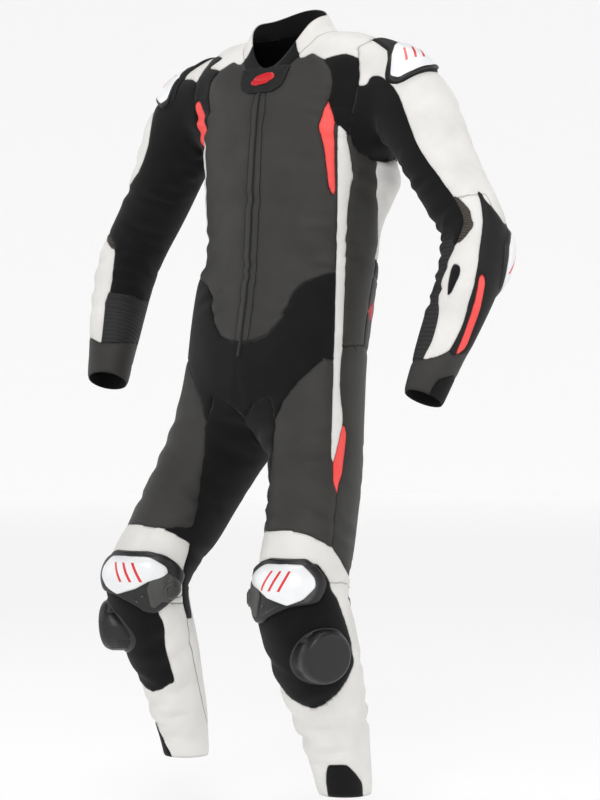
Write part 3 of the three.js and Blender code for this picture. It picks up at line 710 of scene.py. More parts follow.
LEG_CREASES = [
    Crease(-34, -34, 32, -3.2, 9, 16), Crease(-6, -48, 34, -2.8, 8, 14), Crease(34, -66, 38, -2.6, 9, 8),
    Crease(14, 40, 36, -1.4, 10, 12), Crease(66, 30, 40, -1.4, 10, -8), Crease(112, 60, 40, -1.8, 10, 8),
    Crease(96, -70, 40, -2.4, 9, 6), Crease(136, -60, 38, -2.8, 8, -6), Crease(170, -30, 36, -2.0, 8, 6),
    Crease(176, 56, 34, -2.2, 8, 10), Crease(196, 96, 36, -3.0, 8, -6), Crease(216, -96, 36, -3.0, 8, 6),
    Crease(258, 176, 70, -5.0, 9, 5), Crease(284, 184, 74, -5.4, 9, -5), Crease(310, 172, 70, -4.6, 9, 5),
    Crease(232, 180, 66, -4.0, 9, -4), Crease(20, 170, 50, -3.0, 10, 8), Crease(80, 176, 54, -2.4, 10, -6),
    Crease(392, -40, 44, -2.0, 10, 18), Crease(430, -66, 46, -2.4, 10, 20), Crease(470, 20, 44, -2.0, 9, -12),
    Crease(500, -40, 50, -2.8, 9, 10), Crease(524, 10, 54, -3.2, 8, 6), Crease(548, -30, 52, -3.4, 8, -6),
    Crease(570, 20, 50, -3.0, 8, 5), Crease(440, 150, 50, -2.2, 10, 8), Crease(512, 160, 56, -3.0, 9, -6),
    Crease(552, 150, 56, -3.0, 8, 6), Crease(406, 70, 40, -1.8, 10, -12), Crease(590, 0, 50, -2.2, 7, 4),
]


@dataclass(frozen=True)
class Patch:
    """A stretch of skin that belongs to one panel, drawn as it is seen level from one side.

    azimuth is the side that it is seen from, from straight ahead towards the wearer's left.
    over names the panels that it may take skin from. points are millimetres aside and height
    over the mount. Patches are drawn for the left half and mirrored for the right.
    """

    panel: str
    over: tuple[str, ...]
    azimuth: float
    points: tuple[tuple[float, float], ...]
    hands: tuple[str, ...] = ("left", "right")

    def covers(self, co: np.ndarray, normal: np.ndarray, hand: float) -> np.ndarray:
        """Find which points the patch covers.

        Args:
            co: points in metres, one a row.
            normal: outward direction at each.
            hand: 1 for the wearer's left half, -1 for the right.

        Returns:
            True for each point covered.
        """
        turn = math.radians(self.azimuth)
        across = (hand * co[:, 0] * math.cos(turn) + co[:, 1] * math.sin(turn)) / MM
        height = co[:, 2] / MM
        facing = hand * normal[:, 0] * math.sin(turn) - normal[:, 1] * math.cos(turn) > 0.02
        own_half = hand * co[:, 0] > -0.5 * MM
        inside = np.zeros(len(co), bool)
        for (x0, z0), (x1, z1) in zip(self.points, self.points[1:] + self.points[:1]):
            if z0 == z1:
                continue
            spans = (height >= min(z0, z1)) & (height < max(z0, z1))
            inside ^= spans & (across < x0 + (height - z0) * (x1 - x0) / (z1 - z0))
        return inside & facing & own_half


THREE_QUARTER = 36.0
OTHER_QUARTER = -36.0
AHEAD = 0.0
LEFT = ("left",)
RIGHT = ("right",)

# Seams that more than one patch follows, from the top down or from the front to the side
STRIPE_FRONT = ((87, -114), (87, -211), (85, -352), (84, -376), (81, -495), (78, -577), (74, -697))
STRIPE_BACK = (
    (101, -128), (116, -199), (105, -253), (102, -350), (96, -494), (90, -565), (91, -591), (97, -630),
)
YOKE_EDGE = ((20, 9), (41, 22), (59, 7), (100, 16), (121, 7), (160, -30))
YOKE_EDGE_RIGHT = ((80, 19), (89, 40), (123, 33), (137, 46), (155, 54), (170, 51), (199, 35), (228, 10))
TONGUE = (
    (-1, -498), (30, -494), (56, -483), (72, -462), (82, -438), (89, -416), (99, -399), (118, -387),
    (156, -374),
)
GROIN = (
    (152, -528), (122, -560), (104, -584), (86, -612), (78, -642), (75, -700), (76, -780), (84, -862),
)
BAND_TOP = (
    (-60, -831), (-32, -825), (3, -822), (32, -828), (57, -840), (76, -852), (88, -869), (104, -900),
)
BAND_TOP_INNER = ((310, -827), (291, -824), (272, -822), (236, -828), (204, -838), (170, -859))
SLEEVE_EDGE = (
    (160, -30), (182, -52), (192, -71), (204, -107), (221, -155), (238, -185), (258, -213), (281, -247),
)
SLEEVE_EDGE_RIGHT = (
    (228, 10), (246, -17), (259, -53), (268, -119), (282, -155), (301, -181), (324, -212), (349, -262),
)
FOREARM_INNER = (
    (286, -335), (275, -356), (268, -374), (260, -402), (253, -437), (256, -444), (252, -468), (243, -500),
    (226, -531),
)
FOREARM_OUTER = (
    (331, -262), (333, -292), (330, -315), (325, -348), (319, -391), (306, -436), (296, -473), (280, -505),
    (271, -517),
)
FOREARM_RIGHT = (
    (351, -277), (337, -298), (335, -316), (337, -341), (342, -396), (350, -398), (354, -463), (356, -488),
)

PATCHES = [
    Patch("front", ("side_stripe", "chest_insert", "abdomen_stretch"), THREE_QUARTER, (
        (-60, 10), (59, 7), (75, -13), (78, -37), (75, -55), *STRIPE_FRONT[:4], (-60, -376),
    )),
    Patch("abdomen_stretch", ("side_stripe",), THREE_QUARTER, (
        *STRIPE_FRONT[3:5], (80, -530), (40, -560), (-80, -600), (-80, -376),
    )),
    Patch("thigh_front", ("side_stripe",), THREE_QUARTER, (
        (80, -530), *STRIPE_FRONT[5:], (84, -768), (0, -840), (-60, -700), (40, -560),
    )),
    Patch("side_panel", ("side_stripe",), THREE_QUARTER, (
        *STRIPE_BACK, (140, -640), (220, -400), (220, -100),
    )),
    Patch("thigh_outer", ("side_stripe",), THREE_QUARTER, (
        (97, -630), (102, -665), (93, -725), (84, -768), (200, -860), (260, -640), (140, -600),
    )),
    Patch("side_stripe", (
        "front", "side_panel", "chest_stretch", "chest_insert", "abdomen_stretch", "thigh_front",
        "thigh_outer",
    ), THREE_QUARTER, (*STRIPE_FRONT, (74, -712), *reversed(STRIPE_BACK))),
    Patch("thigh_insert", ("side_stripe", "thigh_front", "thigh_outer", "side_panel"), THREE_QUARTER, (
        (99, -634), (103, -660), (94, -725), (84, -768), (76, -718), (86, -680),
    )),
    Patch("front", ("yoke", "chest_stretch"), THREE_QUARTER, (
        (-60, 40), *YOKE_EDGE[:3], (75, -13), (78, -37), (75, -55), (70, -66), (60, -120), (-60, -120),
    )),
    Patch("chest_stretch", ("front", "chest_insert", "side_stripe", "side_panel", "yoke"), THREE_QUARTER, (
        *YOKE_EDGE[2:], (220, -30), (220, -160), (148, -158), (125, -143), (98, -123), (80, -103), (70, -66),
        (75, -55), (78, -37), (75, -13),
    )),
    Patch("yoke", ("front", "chest_stretch"), THREE_QUARTER, (*YOKE_EDGE, (220, -30), (220, 120), (8, 120))),
    Patch("yoke", ("front", "chest_stretch"), OTHER_QUARTER, (
        *YOKE_EDGE_RIGHT, (300, 40), (200, 120), (60, 120),
    ), RIGHT),
    Patch("chest_stretch", ("yoke", "front", "side_stripe"), OTHER_QUARTER, (
        *YOKE_EDGE_RIGHT[2:], (280, -30), (240, -160), (184, -80), (170, -38), (168, -17), (161, 10),
    ), RIGHT),
    Patch("front", ("chest_insert",), OTHER_QUARTER, (
        (100, -20), (168, -37), (168, -260), (100, -260),
    ), RIGHT),
    Patch("side_stripe", ("front", "chest_insert", "side_panel"), OTHER_QUARTER, (
        (182, -70), (188, -95), (179, -150), (171, -215), (210, -230), (210, -70),
    ), RIGHT),
    Patch("chest_insert", ("front", "chest_stretch", "side_stripe"), OTHER_QUARTER, (
        (168, -37), (160, -70), (155, -91), (160, -140), (166, -216), (173, -190), (180, -150), (187, -95),
        (178, -60),
    ), RIGHT),
    Patch("chest_insert", ("front", "chest_stretch", "side_stripe"), THREE_QUARTER, (
        (70, -66), (80, -100), (81, -163), (83, -243), (71, -230), (62, -151), (52, -116), (61, -88),
    ), LEFT),
    Patch("abdomen_stretch", ("front", "zip_panel"), AHEAD, (*TONGUE, (230, -372), (230, -660), (-1, -660))),
    Patch("front", ("abdomen_stretch",), AHEAD, ((10, -497), *TONGUE[1:], (160, -300), (10, -300))),
    Patch("zip_panel", ("abdomen_stretch", "front"), AHEAD, ((-1, -300), (9, -300), (9, -497), (-1, -497))),
    Patch("thigh_front", ("abdomen_stretch", "leg_inner"), AHEAD, (
        *GROIN, (150, -900), (240, -900), (240, -528),
    )),
    Patch("abdomen_stretch", ("thigh_front",), AHEAD, (*GROIN[:5], (-5, -645), (-5, -480), (152, -480))),
    Patch("leg_inner", ("thigh_front",), AHEAD, (*GROIN[4:], (0, -862), (0, -642))),
    Patch("back_side", ("side_panel", "chest_stretch"), THREE_QUARTER, (
        (159, -155), (157, -200), (163, -290), (166, -385), (200, -385), (230, -220), (200, -150),
    )),
    Patch("hip_insert", ("side_panel", "seat", "lower_back_stretch", "back_side"), THREE_QUARTER, (
        (190, -402), (166, -408), (140, -438), (150, -468), (190, -452),
    )),
    Patch("knee_band", ("thigh_front", "leg_inner", "thigh_outer"), THREE_QUARTER, (
        *BAND_TOP, (104, -960), (-80, -960),
    )),
    Patch("thigh_front", ("knee_band",), THREE_QUARTER, (*BAND_TOP[:6], (76, -780), (-60, -780))),
    Patch("thigh_outer", ("knee_band", "leg_inner"), THREE_QUARTER, (
        *BAND_TOP[5:], (108, -925), (150, -925), (150, -800), (76, -800),
    )),
    Patch("knee_band", ("thigh_front", "leg_inner"), OTHER_QUARTER, (
        *BAND_TOP_INNER, (170, -960), (350, -960),
    ), RIGHT),
    Patch("thigh_front", ("knee_band",), OTHER_QUARTER, (
        *BAND_TOP_INNER[:4], (236, -780), (310, -780),
    ), RIGHT),
    Patch("leg_inner", ("knee_band",), OTHER_QUARTER, (
        *BAND_TOP_INNER[3:], (120, -859), (120, -780), (236, -780),
    ), RIGHT),
    Patch("calf_outer", ("knee_panel", "leg_inner"), THREE_QUARTER, (
        (60, -890), (84, -869), (104, -896), (112, -926), (150, -960), (160, -1200), (40, -1200), (40, -960),
    )),
    Patch("calf_inner", ("knee_panel",), OTHER_QUARTER, (
        (240, -960), (100, -900), (100, -1200), (300, -1200), (300, -1000),
    )),
    Patch("knee_panel", ("calf_outer", "calf_inner", "knee_band", "leg_inner"), THREE_QUARTER, (
        (67, -899), (74, -922), (84, -936), (100, -982), (109, -1017), (114, -1048),
        (100, -1079), (83, -1102),
        (57, -1123), (39, -1129), (22, -1123), (0, -1099), (-15, -1065), (-21, -1038),
        (-41, -981), (-61, -905),
        (-55, -878), (50, -876),
    )),
    Patch("knee_panel", ("calf_outer", "calf_inner", "knee_band", "leg_inner"), OTHER_QUARTER, (
        (335, -880), (335, -975), (309, -1047), (295, -1090), (283, -1113), (268, -1118),
        (254, -1113), (240, -1103),
        (226, -1086), (219, -1068), (221, -1043), (221, -1012), (224, -994), (236, -975),
        (222, -960), (222, -880),
    )),
    Patch("calf_outer", ("calf_inner",), THREE_QUARTER, (
        (-90, -1000), (160, -1000), (160, -1300), (-90, -1300),
    )),
    Patch("calf_outer", ("calf_inner",), OTHER_QUARTER, (
        (187, -965), (340, -950), (340, -1300), (142, -1300), (150, -1200), (164, -1120), (176, -1050),
    )),
    Patch("leg_inner", ("knee_band", "calf_inner", "calf_outer"), OTHER_QUARTER, (
        (172, -850), (180, -875), (188, -905), (190, -940), (188, -972), (182, -994),
        (120, -994), (120, -850),
    )),
    Patch("ankle_gusset", ("calf_outer", "calf_inner"), THREE_QUARTER, (
        (67, -1230), (101, -1230), (117, -1247), (130, -1266), (130, -1300), (70, -1300), (64, -1262),
    ), LEFT),
    Patch("ankle_gusset", ("calf_outer", "calf_inner"), OTHER_QUARTER, (
        (248, -1190), (230, -1226), (213, -1258), (260, -1262), (260, -1190),
    ), RIGHT),
    Patch("sleeve_inner", ("elbow_gusset",), THREE_QUARTER, (
        (200, -200), (460, -200), (460, -400), (200, -400),
    )),
    Patch("sleeve_inner", ("elbow_gusset",), OTHER_QUARTER, (
        (200, -200), (460, -200), (460, -400), (200, -400),
    )),
    Patch("sleeve_outer", ("sleeve_inner",), THREE_QUARTER, (
        *SLEEVE_EDGE, (420, -250), (420, 60), (160, 60),
    ), LEFT),
    Patch("sleeve_inner", ("sleeve_outer", "forearm_front"), THREE_QUARTER, (
        *SLEEVE_EDGE, (262, -260), (140, -260), (140, -30),
    ), LEFT),
    Patch("forearm_front", ("sleeve_inner", "forearm_inner", "sleeve_outer", "elbow_guard"), THREE_QUARTER, (
        (281, -247), *FOREARM_OUTER, (251, -526), *reversed(FOREARM_INNER),
    ), LEFT),
    Patch("forearm_inner", ("forearm_front", "sleeve_inner"), THREE_QUARTER, (
        *FOREARM_INNER, (160, -531), (160, -330),
    ), LEFT),
    Patch("sleeve_inner", ("forearm_front", "sleeve_outer"), THREE_QUARTER, (
        (279, -246), (294, -270), (300, -293), (295, -312), (283, -338), (200, -338), (200, -246),
    ), LEFT),
    Patch("elbow_gusset", ("forearm_front", "sleeve_inner", "sleeve_outer"), THREE_QUARTER, (
        (279, -246), (298, -259), (313, -277), (311, -287), (318, -300), (303, -320),
        (283, -338), (295, -312),
        (300, -293), (294, -270),
    ), LEFT),
    Patch("sleeve_outer", ("elbow_guard",), THREE_QUARTER, (
        (300, -200), (460, -200), (460, -296), (372, -296), (362, -281), (350, -268),
        (337, -254), (318, -258),
        (300, -262),
    ), LEFT),
    Patch("elbow_guard", ("forearm_front", "sleeve_outer"), THREE_QUARTER, (
        (322, -226), (337, -254), (350, -268), (362, -281), (372, -296), (420, -300),
        (420, -540), (282, -540),
        *reversed(FOREARM_OUTER),
    ), LEFT),
    Patch("forearm_stripe", ("elbow_guard", "forearm_front"), THREE_QUARTER, (
        (327, -378), (337, -393), (328, -445), (303, -512), (282, -524), (295, -497), (316, -436),
    ), LEFT),
    Patch("forearm_tab", ("forearm_front",), THREE_QUARTER, (
        (279, -365), (295, -374), (284, -403), (267, -431), (273, -391),
    ), LEFT),
    Patch("cuff", ("forearm_front", "elbow_guard", "forearm_inner", "forearm_stripe"), THREE_QUARTER, (
        (160, -535), (226, -532), (251, -527), (271, -518), (283, -526), (340, -510),
        (340, -620), (160, -620),
    ), LEFT),
    Patch("cuff_gusset", ("cuff",), THREE_QUARTER, (
        (238, -588), (252, -566), (281, -558), (300, -575), (280, -640), (230, -640),
    ), LEFT),
    Patch("sleeve_inner", ("sleeve_outer", "forearm_front"), OTHER_QUARTER, (
        *SLEEVE_EDGE_RIGHT, (351, -277), (200, -300), (120, -120), (180, 0),
    ), RIGHT),
    Patch("sleeve_outer", ("sleeve_inner", "forearm_front"), OTHER_QUARTER, (
        *SLEEVE_EDGE_RIGHT, (460, -262), (460, -17), (300, 40),
    ), RIGHT),
    Patch("forearm_front", ("forearm_inner", "sleeve_inner", "elbow_guard"), OTHER_QUARTER, (
        *FOREARM_RIGHT, (384, -478), (430, -440), (400, -270),
    ), RIGHT),
    Patch("sleeve_inner", ("forearm_front", "forearm_inner"), OTHER_QUARTER, (
        *FOREARM_RIGHT[:5], (300, -399), (256, -420), (200, -430), (200, -277),
    ), RIGHT),
    Patch("forearm_inner", ("forearm_front", "sleeve_inner"), OTHER_QUARTER, (
        *FOREARM_RIGHT[4:], (200, -492), (200, -430), (256, -420), (300, -399),
    ), RIGHT),
    Patch("elbow_gusset", ("forearm_front", "sleeve_inner", "sleeve_outer"), OTHER_QUARTER, (
        (352, -268), (346, -286), (338, -297), (334, -316), (345, -306), (354, -292), (360, -272),
    ), RIGHT),
    Patch("cuff", ("forearm_front", "elbow_guard", "forearm_inner"), OTHER_QUARTER, (
        (430, -470), (384, -479), (358, -492), (240, -491), (240, -620), (430, -620),
    ), RIGHT),
]

# Small pieces let into a panel, with the panel that carries each
LET_IN = {
    "thigh_insert": "side_stripe", "hip_insert": "side_panel", "ankle_gusset": "calf_outer",
    "forearm_stripe": "elbow_guard", "forearm_tab": "forearm_front", "cuff_gusset": "cuff",
}


class Skin:
    """The suit's whole outer surface: one smooth net, shaped by seams and creases, then parted."""

    CAGE_LEVELS = 3
    WELD_MM = 2.6
    RIM_MM = 3.2
    SPREAD_ROUNDS = 6
    # Places of the samples near a corner: weights of the middle, the corner and its neighbours
    SAMPLES = (
        (0.1, 0.9, 0.0, 0.0), (0.5, 0.5, 0.0, 0.0), (0.1, 0.6, 0.3, 0.0), (0.1, 0.6, 0.0, 0.3),
        (0.9, 0.1, 0.0, 0.0), (0.45, 0.3, 0.25, 0.0), (0.45, 0.3, 0.0, 0.25),
    )
    GROOVE_MM = 1.3
    GROOVE_WIDTH_MM = 2.6
    LOFT_WIDTH_MM = 9
    SOFT_EDGE_MM = 3
    CUT_FROM = 0.12
    CUT_TO = 0.88
    WALL_MM = 1.7
    # Share of its rectangle that a panel's cut is taken to fill
    CUT_SHARE = 0.7

    def __init__(self, book: FinishBook) -> None:
        """Find the panels among the frame's nodes.

        Args:
            book: the finishes.
        """
        self.book = book
        self.panels = sorted(name for name in frame["nodes"] if self.kind(name) in CUTS)
        self.panels += [f"{name}_{tag}" for name in LET_IN for tag in SIDES]
        self.lines = {"trunk": Line(TRUNK)}
        for tag in SIDES:
            self.lines[f"arm_{tag}"] = Line([f"{name}_{tag}" for name in ARM])
            self.lines[f"leg_{tag}"] = Line([f"{name}_{tag}" for name in LEG])
        self.flat: dict[str, float] = {}
        self.tree: BVHTree | None = None

    @staticmethod
    def kind(name: str) -> str:
        """Give a node's kind, without its side.

        Args:
            name: the node's name.

        Returns:
            The name without left or right.
        """
        return name.removesuffix("_left").removesuffix("_right")

    def outside_of(self, panel: str) -> bmesh.types.BMesh:
        """Take the outer face of a panel's wall.

        Args:
            panel: the node's name.

        Returns:
            A mesh of the outer faces alone.
        """
        bm = bmesh.new()
        bm.from_mesh(frame["nodes"][panel].data)
        bmesh.ops.remove_doubles(bm, verts=bm.verts, dist=0.01 * MM)
        edges_of_rim = [
            face for face in bm.faces
            if 2 * face.calc_area() / max(edge.calc_length() for edge in face.edges) < self.RIM_MM * MM
        ]
        bmesh.ops.delete(bm, geom=edges_of_rim, context="FACES_ONLY")
        bm.faces.ensure_lookup_table()
        centres = np.array([face.calc_center_median() for face in bm.faces])
        normals = np.array([face.normal for face in bm.faces])
        areas = np.array([face.calc_area() for face in bm.faces])
        line = self.lines[region_of(panel)]
        foot = line.measure(centres)[3]
        outward = np.einsum("ij,ij->i", normals, centres - foot) * areas
        islands = self.islands(bm)
        chosen = max(set(islands), key=lambda number: outward[np.array(islands) == number].sum())
        inner = [face for face, number in zip(bm.faces, islands) if number != chosen]
        bmesh.ops.delete(bm, geom=inner, context="FACES")
        loose = [vert for vert in bm.verts if not vert.link_faces]
        bmesh.ops.delete(bm, geom=loose, context="VERTS")
        return bm

    @staticmethod
    def islands(bm: bmesh.types.BMesh) -> list[int]:
        """Number each face by the connected island that it lies in.

        Args:
            bm: the mesh.

        Returns:
            A number for each face.
        """
        numbers = [-1] * len(bm.faces)
        bm.faces.index_update()
        count = 0
        for start in bm.faces:
            if numbers[start.index] >= 0:
                continue
            stack = [start]
            numbers[start.index] = count
            while stack:
                for edge in stack.pop().edges:
                    for face in edge.link_faces:
                        if numbers[face.index] < 0:
                            numbers[face.index] = count
                            stack.append(face)
            count += 1
        return numbers

    def cage(self) -> bpy.types.Object:
        """Weld the panels' outer faces into one net and smooth it.

        Returns:
            The smoothed object, with one stand-in material for each panel.
        """
        whole = bmesh.new()
        for panel in self.panels:
            if panel not in frame["nodes"]:
                continue
            part = self.outside_of(panel)
            for face in part.faces:
                face.material_index = self.panels.index(panel)
            scrap = bpy.data.meshes.new("scrap")
            part.to_mesh(scrap)
            part.free()
            whole.from_mesh(scrap)
            bpy.data.meshes.remove(scrap)
        bmesh.ops.remove_doubles(whole, verts=whole.verts, dist=self.WELD_MM * MM)
        bmesh.ops.join_triangles(
            whole, faces=whole.faces, cmp_materials=True,
            angle_face_threshold=math.radians(40), angle_shape_threshold=math.radians(60),
        )
        open_edges = sum(1 for edge in whole.edges if edge.is_boundary)
        log.info("net: %d faces, %d open edges", len(whole.faces), open_edges)
        mesh = bpy.data.meshes.new("net")
        whole.to_mesh(mesh)
        whole.free()
        for panel in self.panels:
            mesh.materials.append(bpy.data.materials.new(f"part_{panel}"))
        net = bpy.data.objects.new("net", mesh)
        bpy.context.scene.collection.objects.link(net)
        smooth = net.modifiers.new("smooth", "SUBSURF")
        smooth.levels = smooth.render_levels = self.CAGE_LEVELS
        smoothed = bpy.data.meshes.new_from_object(
            net.evaluated_get(bpy.context.evaluated_depsgraph_get())
        )
        net.modifiers.clear()
        net.data = smoothed
        bpy.data.meshes.remove(mesh)
        self.redraw(smoothed)
        for face in smoothed.polygons:
            panel = self.panels[face.material_index]
            self.flat[panel] = self.flat.get(panel, 0.0) + face.area
        return net

    def redraw(self, mesh: bpy.types.Mesh) -> None:
        """Give each stretch of skin to its panel and cut the net along the seams.

        Args:
            mesh: the smoothed mesh.
        """
        count = len(mesh.vertices)
        co = np.zeros(count * 3)
        mesh.vertices.foreach_get("co", co)
        co = co.reshape(-1, 3)
        corners = np.zeros(len(mesh.loops), np.int32)
        mesh.loops.foreach_get("vertex_index", corners)
        sizes = np.zeros(len(mesh.polygons), np.int32)
        mesh.polygons.foreach_get("loop_total", sizes)
        owner = np.zeros(len(mesh.polygons), np.int32)
        mesh.polygons.foreach_get("material_index", owner)
        centre = np.zeros(len(mesh.polygons) * 3)
        mesh.polygons.foreach_get("center", centre)
        centre = centre.reshape(-1, 3)
        normal = np.zeros(len(mesh.polygons) * 3)
        mesh.polygons.foreach_get("normal", normal)
        normal = normal.reshape(-1, 3)
        face = np.repeat(np.arange(len(sizes)), sizes)
        firsts = np.repeat(np.cumsum(sizes) - sizes, sizes)
        place = np.arange(len(corners)) - firsts
        after = corners[firsts + (place + 1) % sizes[face]]
        before = corners[firsts + (place - 1) % sizes[face]]
        share = np.zeros((count, len(self.panels)), np.float32)
        for middle, own, ahead, behind in self.SAMPLES:
            spots = middle * centre[face] + own * co[corners] + ahead * co[after] + behind * co[before]
            owners = self.painted(spots, normal[face], owner[face])
            np.add.at(share, (corners, owners), 1)
        share /= np.maximum(share.sum(axis=1, keepdims=True), 1)
        share = self.spread(mesh, share)
        self.cut(mesh, share)

    def painted(self, spots: np.ndarray, normal: np.ndarray, owners: np.ndarray) -> np.ndarray:
        """Apply the patches to samples of the skin.

        Args:
            spots: places of the samples.
            normal: outward direction at each.
            owners: the panel number of each.

        Returns:
            The new panel number of each.
        """
        number = {panel: index for index, panel in enumerate(self.panels)}
        for patch in PATCHES:
            for tag in patch.hands:
                allowed = [number.get(f"{name}_{tag}", number.get(name, -1)) for name in patch.over]
                open_to = np.isin(owners, allowed)
                inside = patch.covers(spots[open_to], normal[open_to], SIDES[tag])
                target = number.get(f"{patch.panel}_{tag}", number.get(patch.panel))
                owners[np.flatnonzero(open_to)[inside]] = target
        return owners

    def spread(self, mesh: bpy.types.Mesh, share: np.ndarray) -> np.ndarray:
        """Even out the panels' shares along the net, which rounds the seams' corners.

        Args:
            mesh: the smoothed mesh.
            share: each point's share of each panel.

        Returns:
            The evened shares.
        """
        ends = np.zeros(len(mesh.edges) * 2, np.int32)
        mesh.edges.foreach_get("vertices", ends)
        ends = ends.reshape(-1, 2)
        both = np.concatenate([ends, ends[:, ::-1]])
        both = both[np.argsort(both[:, 0], kind="stable")]
        starts = np.flatnonzero(np.r_[True, np.diff(both[:, 0]) > 0])
        degree = np.diff(np.r_[starts, len(both)])[:, None]
        for _ in range(self.SPREAD_ROUNDS):
            mean = np.add.reduceat(share[both[:, 1]], starts, axis=0) / degree
            share = 0.5 * share + 0.5 * mean
        return share

    def cut(self, mesh: bpy.types.Mesh, share: np.ndarray) -> None:
        """Cut the faces where the strongest panel changes.

        Args:
            mesh: the smoothed mesh, changed in place.
            share: each point's share of each panel.
        """
        strongest = share.argmax(axis=1)
        bm = bmesh.new()
        bm.from_mesh(mesh)
        bm.verts.ensure_lookup_table()
        old = len(bm.verts)
        crossed = [
            edge for edge in bm.edges if strongest[edge.verts[0].index] != strongest[edge.verts[1].index]
        ]
        touched = dict.fromkeys(face for edge in crossed for face in edge.link_faces)
        fresh = set()
        for edge in crossed:
            a, b = edge.verts
            mine, theirs = strongest[a.index], strongest[b.index]
            rise_a = share[a.index, mine] - share[a.index, theirs]
            rise_b = share[b.index, theirs] - share[b.index, mine]
            where = min(self.CUT_TO, max(self.CUT_FROM, float(rise_a / max(rise_a + rise_b, 1e-6))))
            fresh.add(bmesh.utils.edge_split(edge, a, where)[1])
        for face in touched:
            news = [vert for vert in face.verts if vert in fresh]
            if len(news) == 2:
                bmesh.utils.face_split(face, news[0], news[1])
            elif len(news) > 2:
                bmesh.ops.poke(bm, faces=[face])
        for face in bm.faces:
            kept = [vert for vert in face.verts if 0 <= vert.index < old and vert not in fresh]
            known = [strongest[vert.index] for vert in kept]
            if known:
                face.material_index = int(max(set(known), key=known.count))
        bm.to_mesh(mesh)
        bm.free()

    def shape(self, net: bpy.types.Object) -> None:
        """Press in the seams, puff the panels and lay the creases.

        Args:
            net: the smoothed object.
        """
        mesh = net.data
        count = len(mesh.vertices)
        co = np.zeros(count * 3)
        mesh.vertices.foreach_get("co", co)
        co = co.reshape(-1, 3)
        normal = np.zeros(count * 3)
        mesh.vertex_normals.foreach_get("vector", normal)
        normal = normal.reshape(-1, 3)
        owner = self.owners(mesh)
        seam = self.seam_distance(mesh, co)
        attribute = mesh.attributes.new("seam_mm", "FLOAT", "POINT")
        attribute.data.foreach_set("value", (seam / MM).astype(np.float32))
        along = np.zeros(count)
        round_it = np.zeros(count)
        move = -self.GROOVE_MM * MM * np.exp(-(seam / (self.GROOVE_WIDTH_MM * MM)) ** 2)
        loft = np.array([CUTS[self.kind(panel)].loft_mm for panel in self.panels])[owner]
        move += loft * MM * (1 - np.exp(-(seam / (self.LOFT_WIDTH_MM * MM)) ** 2))
        regions = np.array([region_of(panel) for panel in self.panels])[owner]
        for region, line in self.lines.items():
            chosen = regions == region
            distance, angle, radius, _ = line.measure(co[chosen])
            along[chosen] = distance
            round_it[chosen] = np.radians(angle) * radius.mean()
            move[chosen] += self.creased(region, distance, angle)
        soft = np.clip(seam / (self.SOFT_EDGE_MM * MM), 0.35, 1)
        co += normal * (np.where(move < 0, move, move * soft))[:, None]
        mesh.vertices.foreach_set("co", co.ravel())
        self.lay_out(mesh, round_it, along)
        mesh.update()
        self.tree = BVHTree.FromPolygons(
            [Vector(point) for point in co], [tuple(face.vertices) for face in mesh.polygons]
        )

    @staticmethod
    def creased(region: str, along: np.ndarray, angle: np.ndarray) -> np.ndarray:
        """Add up the creases of one trunk or limb.

        Args:
            region: trunk, or arm or leg with its side.
            along: distance along the line.
            angle: angle round the line.

        Returns:
            Outward move in metres.
        """
        if region == "trunk":
            move = np.zeros(len(along))
            for crease in TRUNK_CREASES:
                move += crease.height(along, angle) + crease.height(along + 6 * MM, -angle)
            return move
        limb, tag = region.split("_")
        creases = ARM_CREASES if limb == "arm" else LEG_CREASES
        shift = 0.0 if tag == "left" else 7 * MM
        return sum(crease.height(along + shift, angle * SIDES[tag]) for crease in creases)

    @staticmethod
    def owners(mesh: bpy.types.Mesh) -> np.ndarray:
        """Say which panel each point belongs to.

        Args:
            mesh: the smoothed mesh.

        Returns:
            A panel number for each point.
        """
        owner = np.zeros(len(mesh.vertices), int)
        numbers = np.zeros(len(mesh.polygons), np.int32)
        mesh.polygons.foreach_get("material_index", numbers)
        corners = np.zeros(len(mesh.loops), np.int32)
        mesh.loops.foreach_get("vertex_index", corners)
        sizes = np.zeros(len(mesh.polygons), np.int32)
        mesh.polygons.foreach_get("loop_total", sizes)
        owner[corners] = np.repeat(numbers, sizes)
        return owner

    def seam_distance(self, mesh: bpy.types.Mesh, co: np.ndarray) -> np.ndarray:
        """Measure how far each point lies from the nearest seam.

        Args:
            mesh: the smoothed mesh.
            co: its points.

        Returns:
            A distance in metres for each point.
        """
        bm = bmesh.new()
        bm.from_mesh(mesh)
        on_seam = [
            edge for edge in bm.edges
            if len(edge.link_faces) < 2 or len({face.material_index for face in edge.link_faces}) > 1
        ]
        places = [vert.co.copy() for edge in on_seam for vert in edge.verts]
        places += [(edge.verts[0].co + edge.verts[1].co) / 2 for edge in on_seam]
        tree = KDTree(len(places))
        for number, place in enumerate(places):
            tree.insert(place, number)
        tree.balance()
        distance = np.array([tree.find(point)[2] for point in co])
        bm.free()
        return distance

    @staticmethod
    def lay_out(mesh: bpy.types.Mesh, across: np.ndarray, along: np.ndarray) -> None:
        """Give the cloth a map in metres, round and along each limb.

        Args:
            mesh: the shaped mesh.
            across: distance round the line for each point.
            along: distance along the line for each point.
        """
        layer = mesh.uv_layers.new(name="cloth")
        corners = np.zeros(len(mesh.loops), np.int32)
        mesh.loops.foreach_get("vertex_index", corners)
        pairs = np.stack([across[corners], along[corners]], axis=1)
        layer.data.foreach_set("uv", pairs.astype(np.float32).ravel())

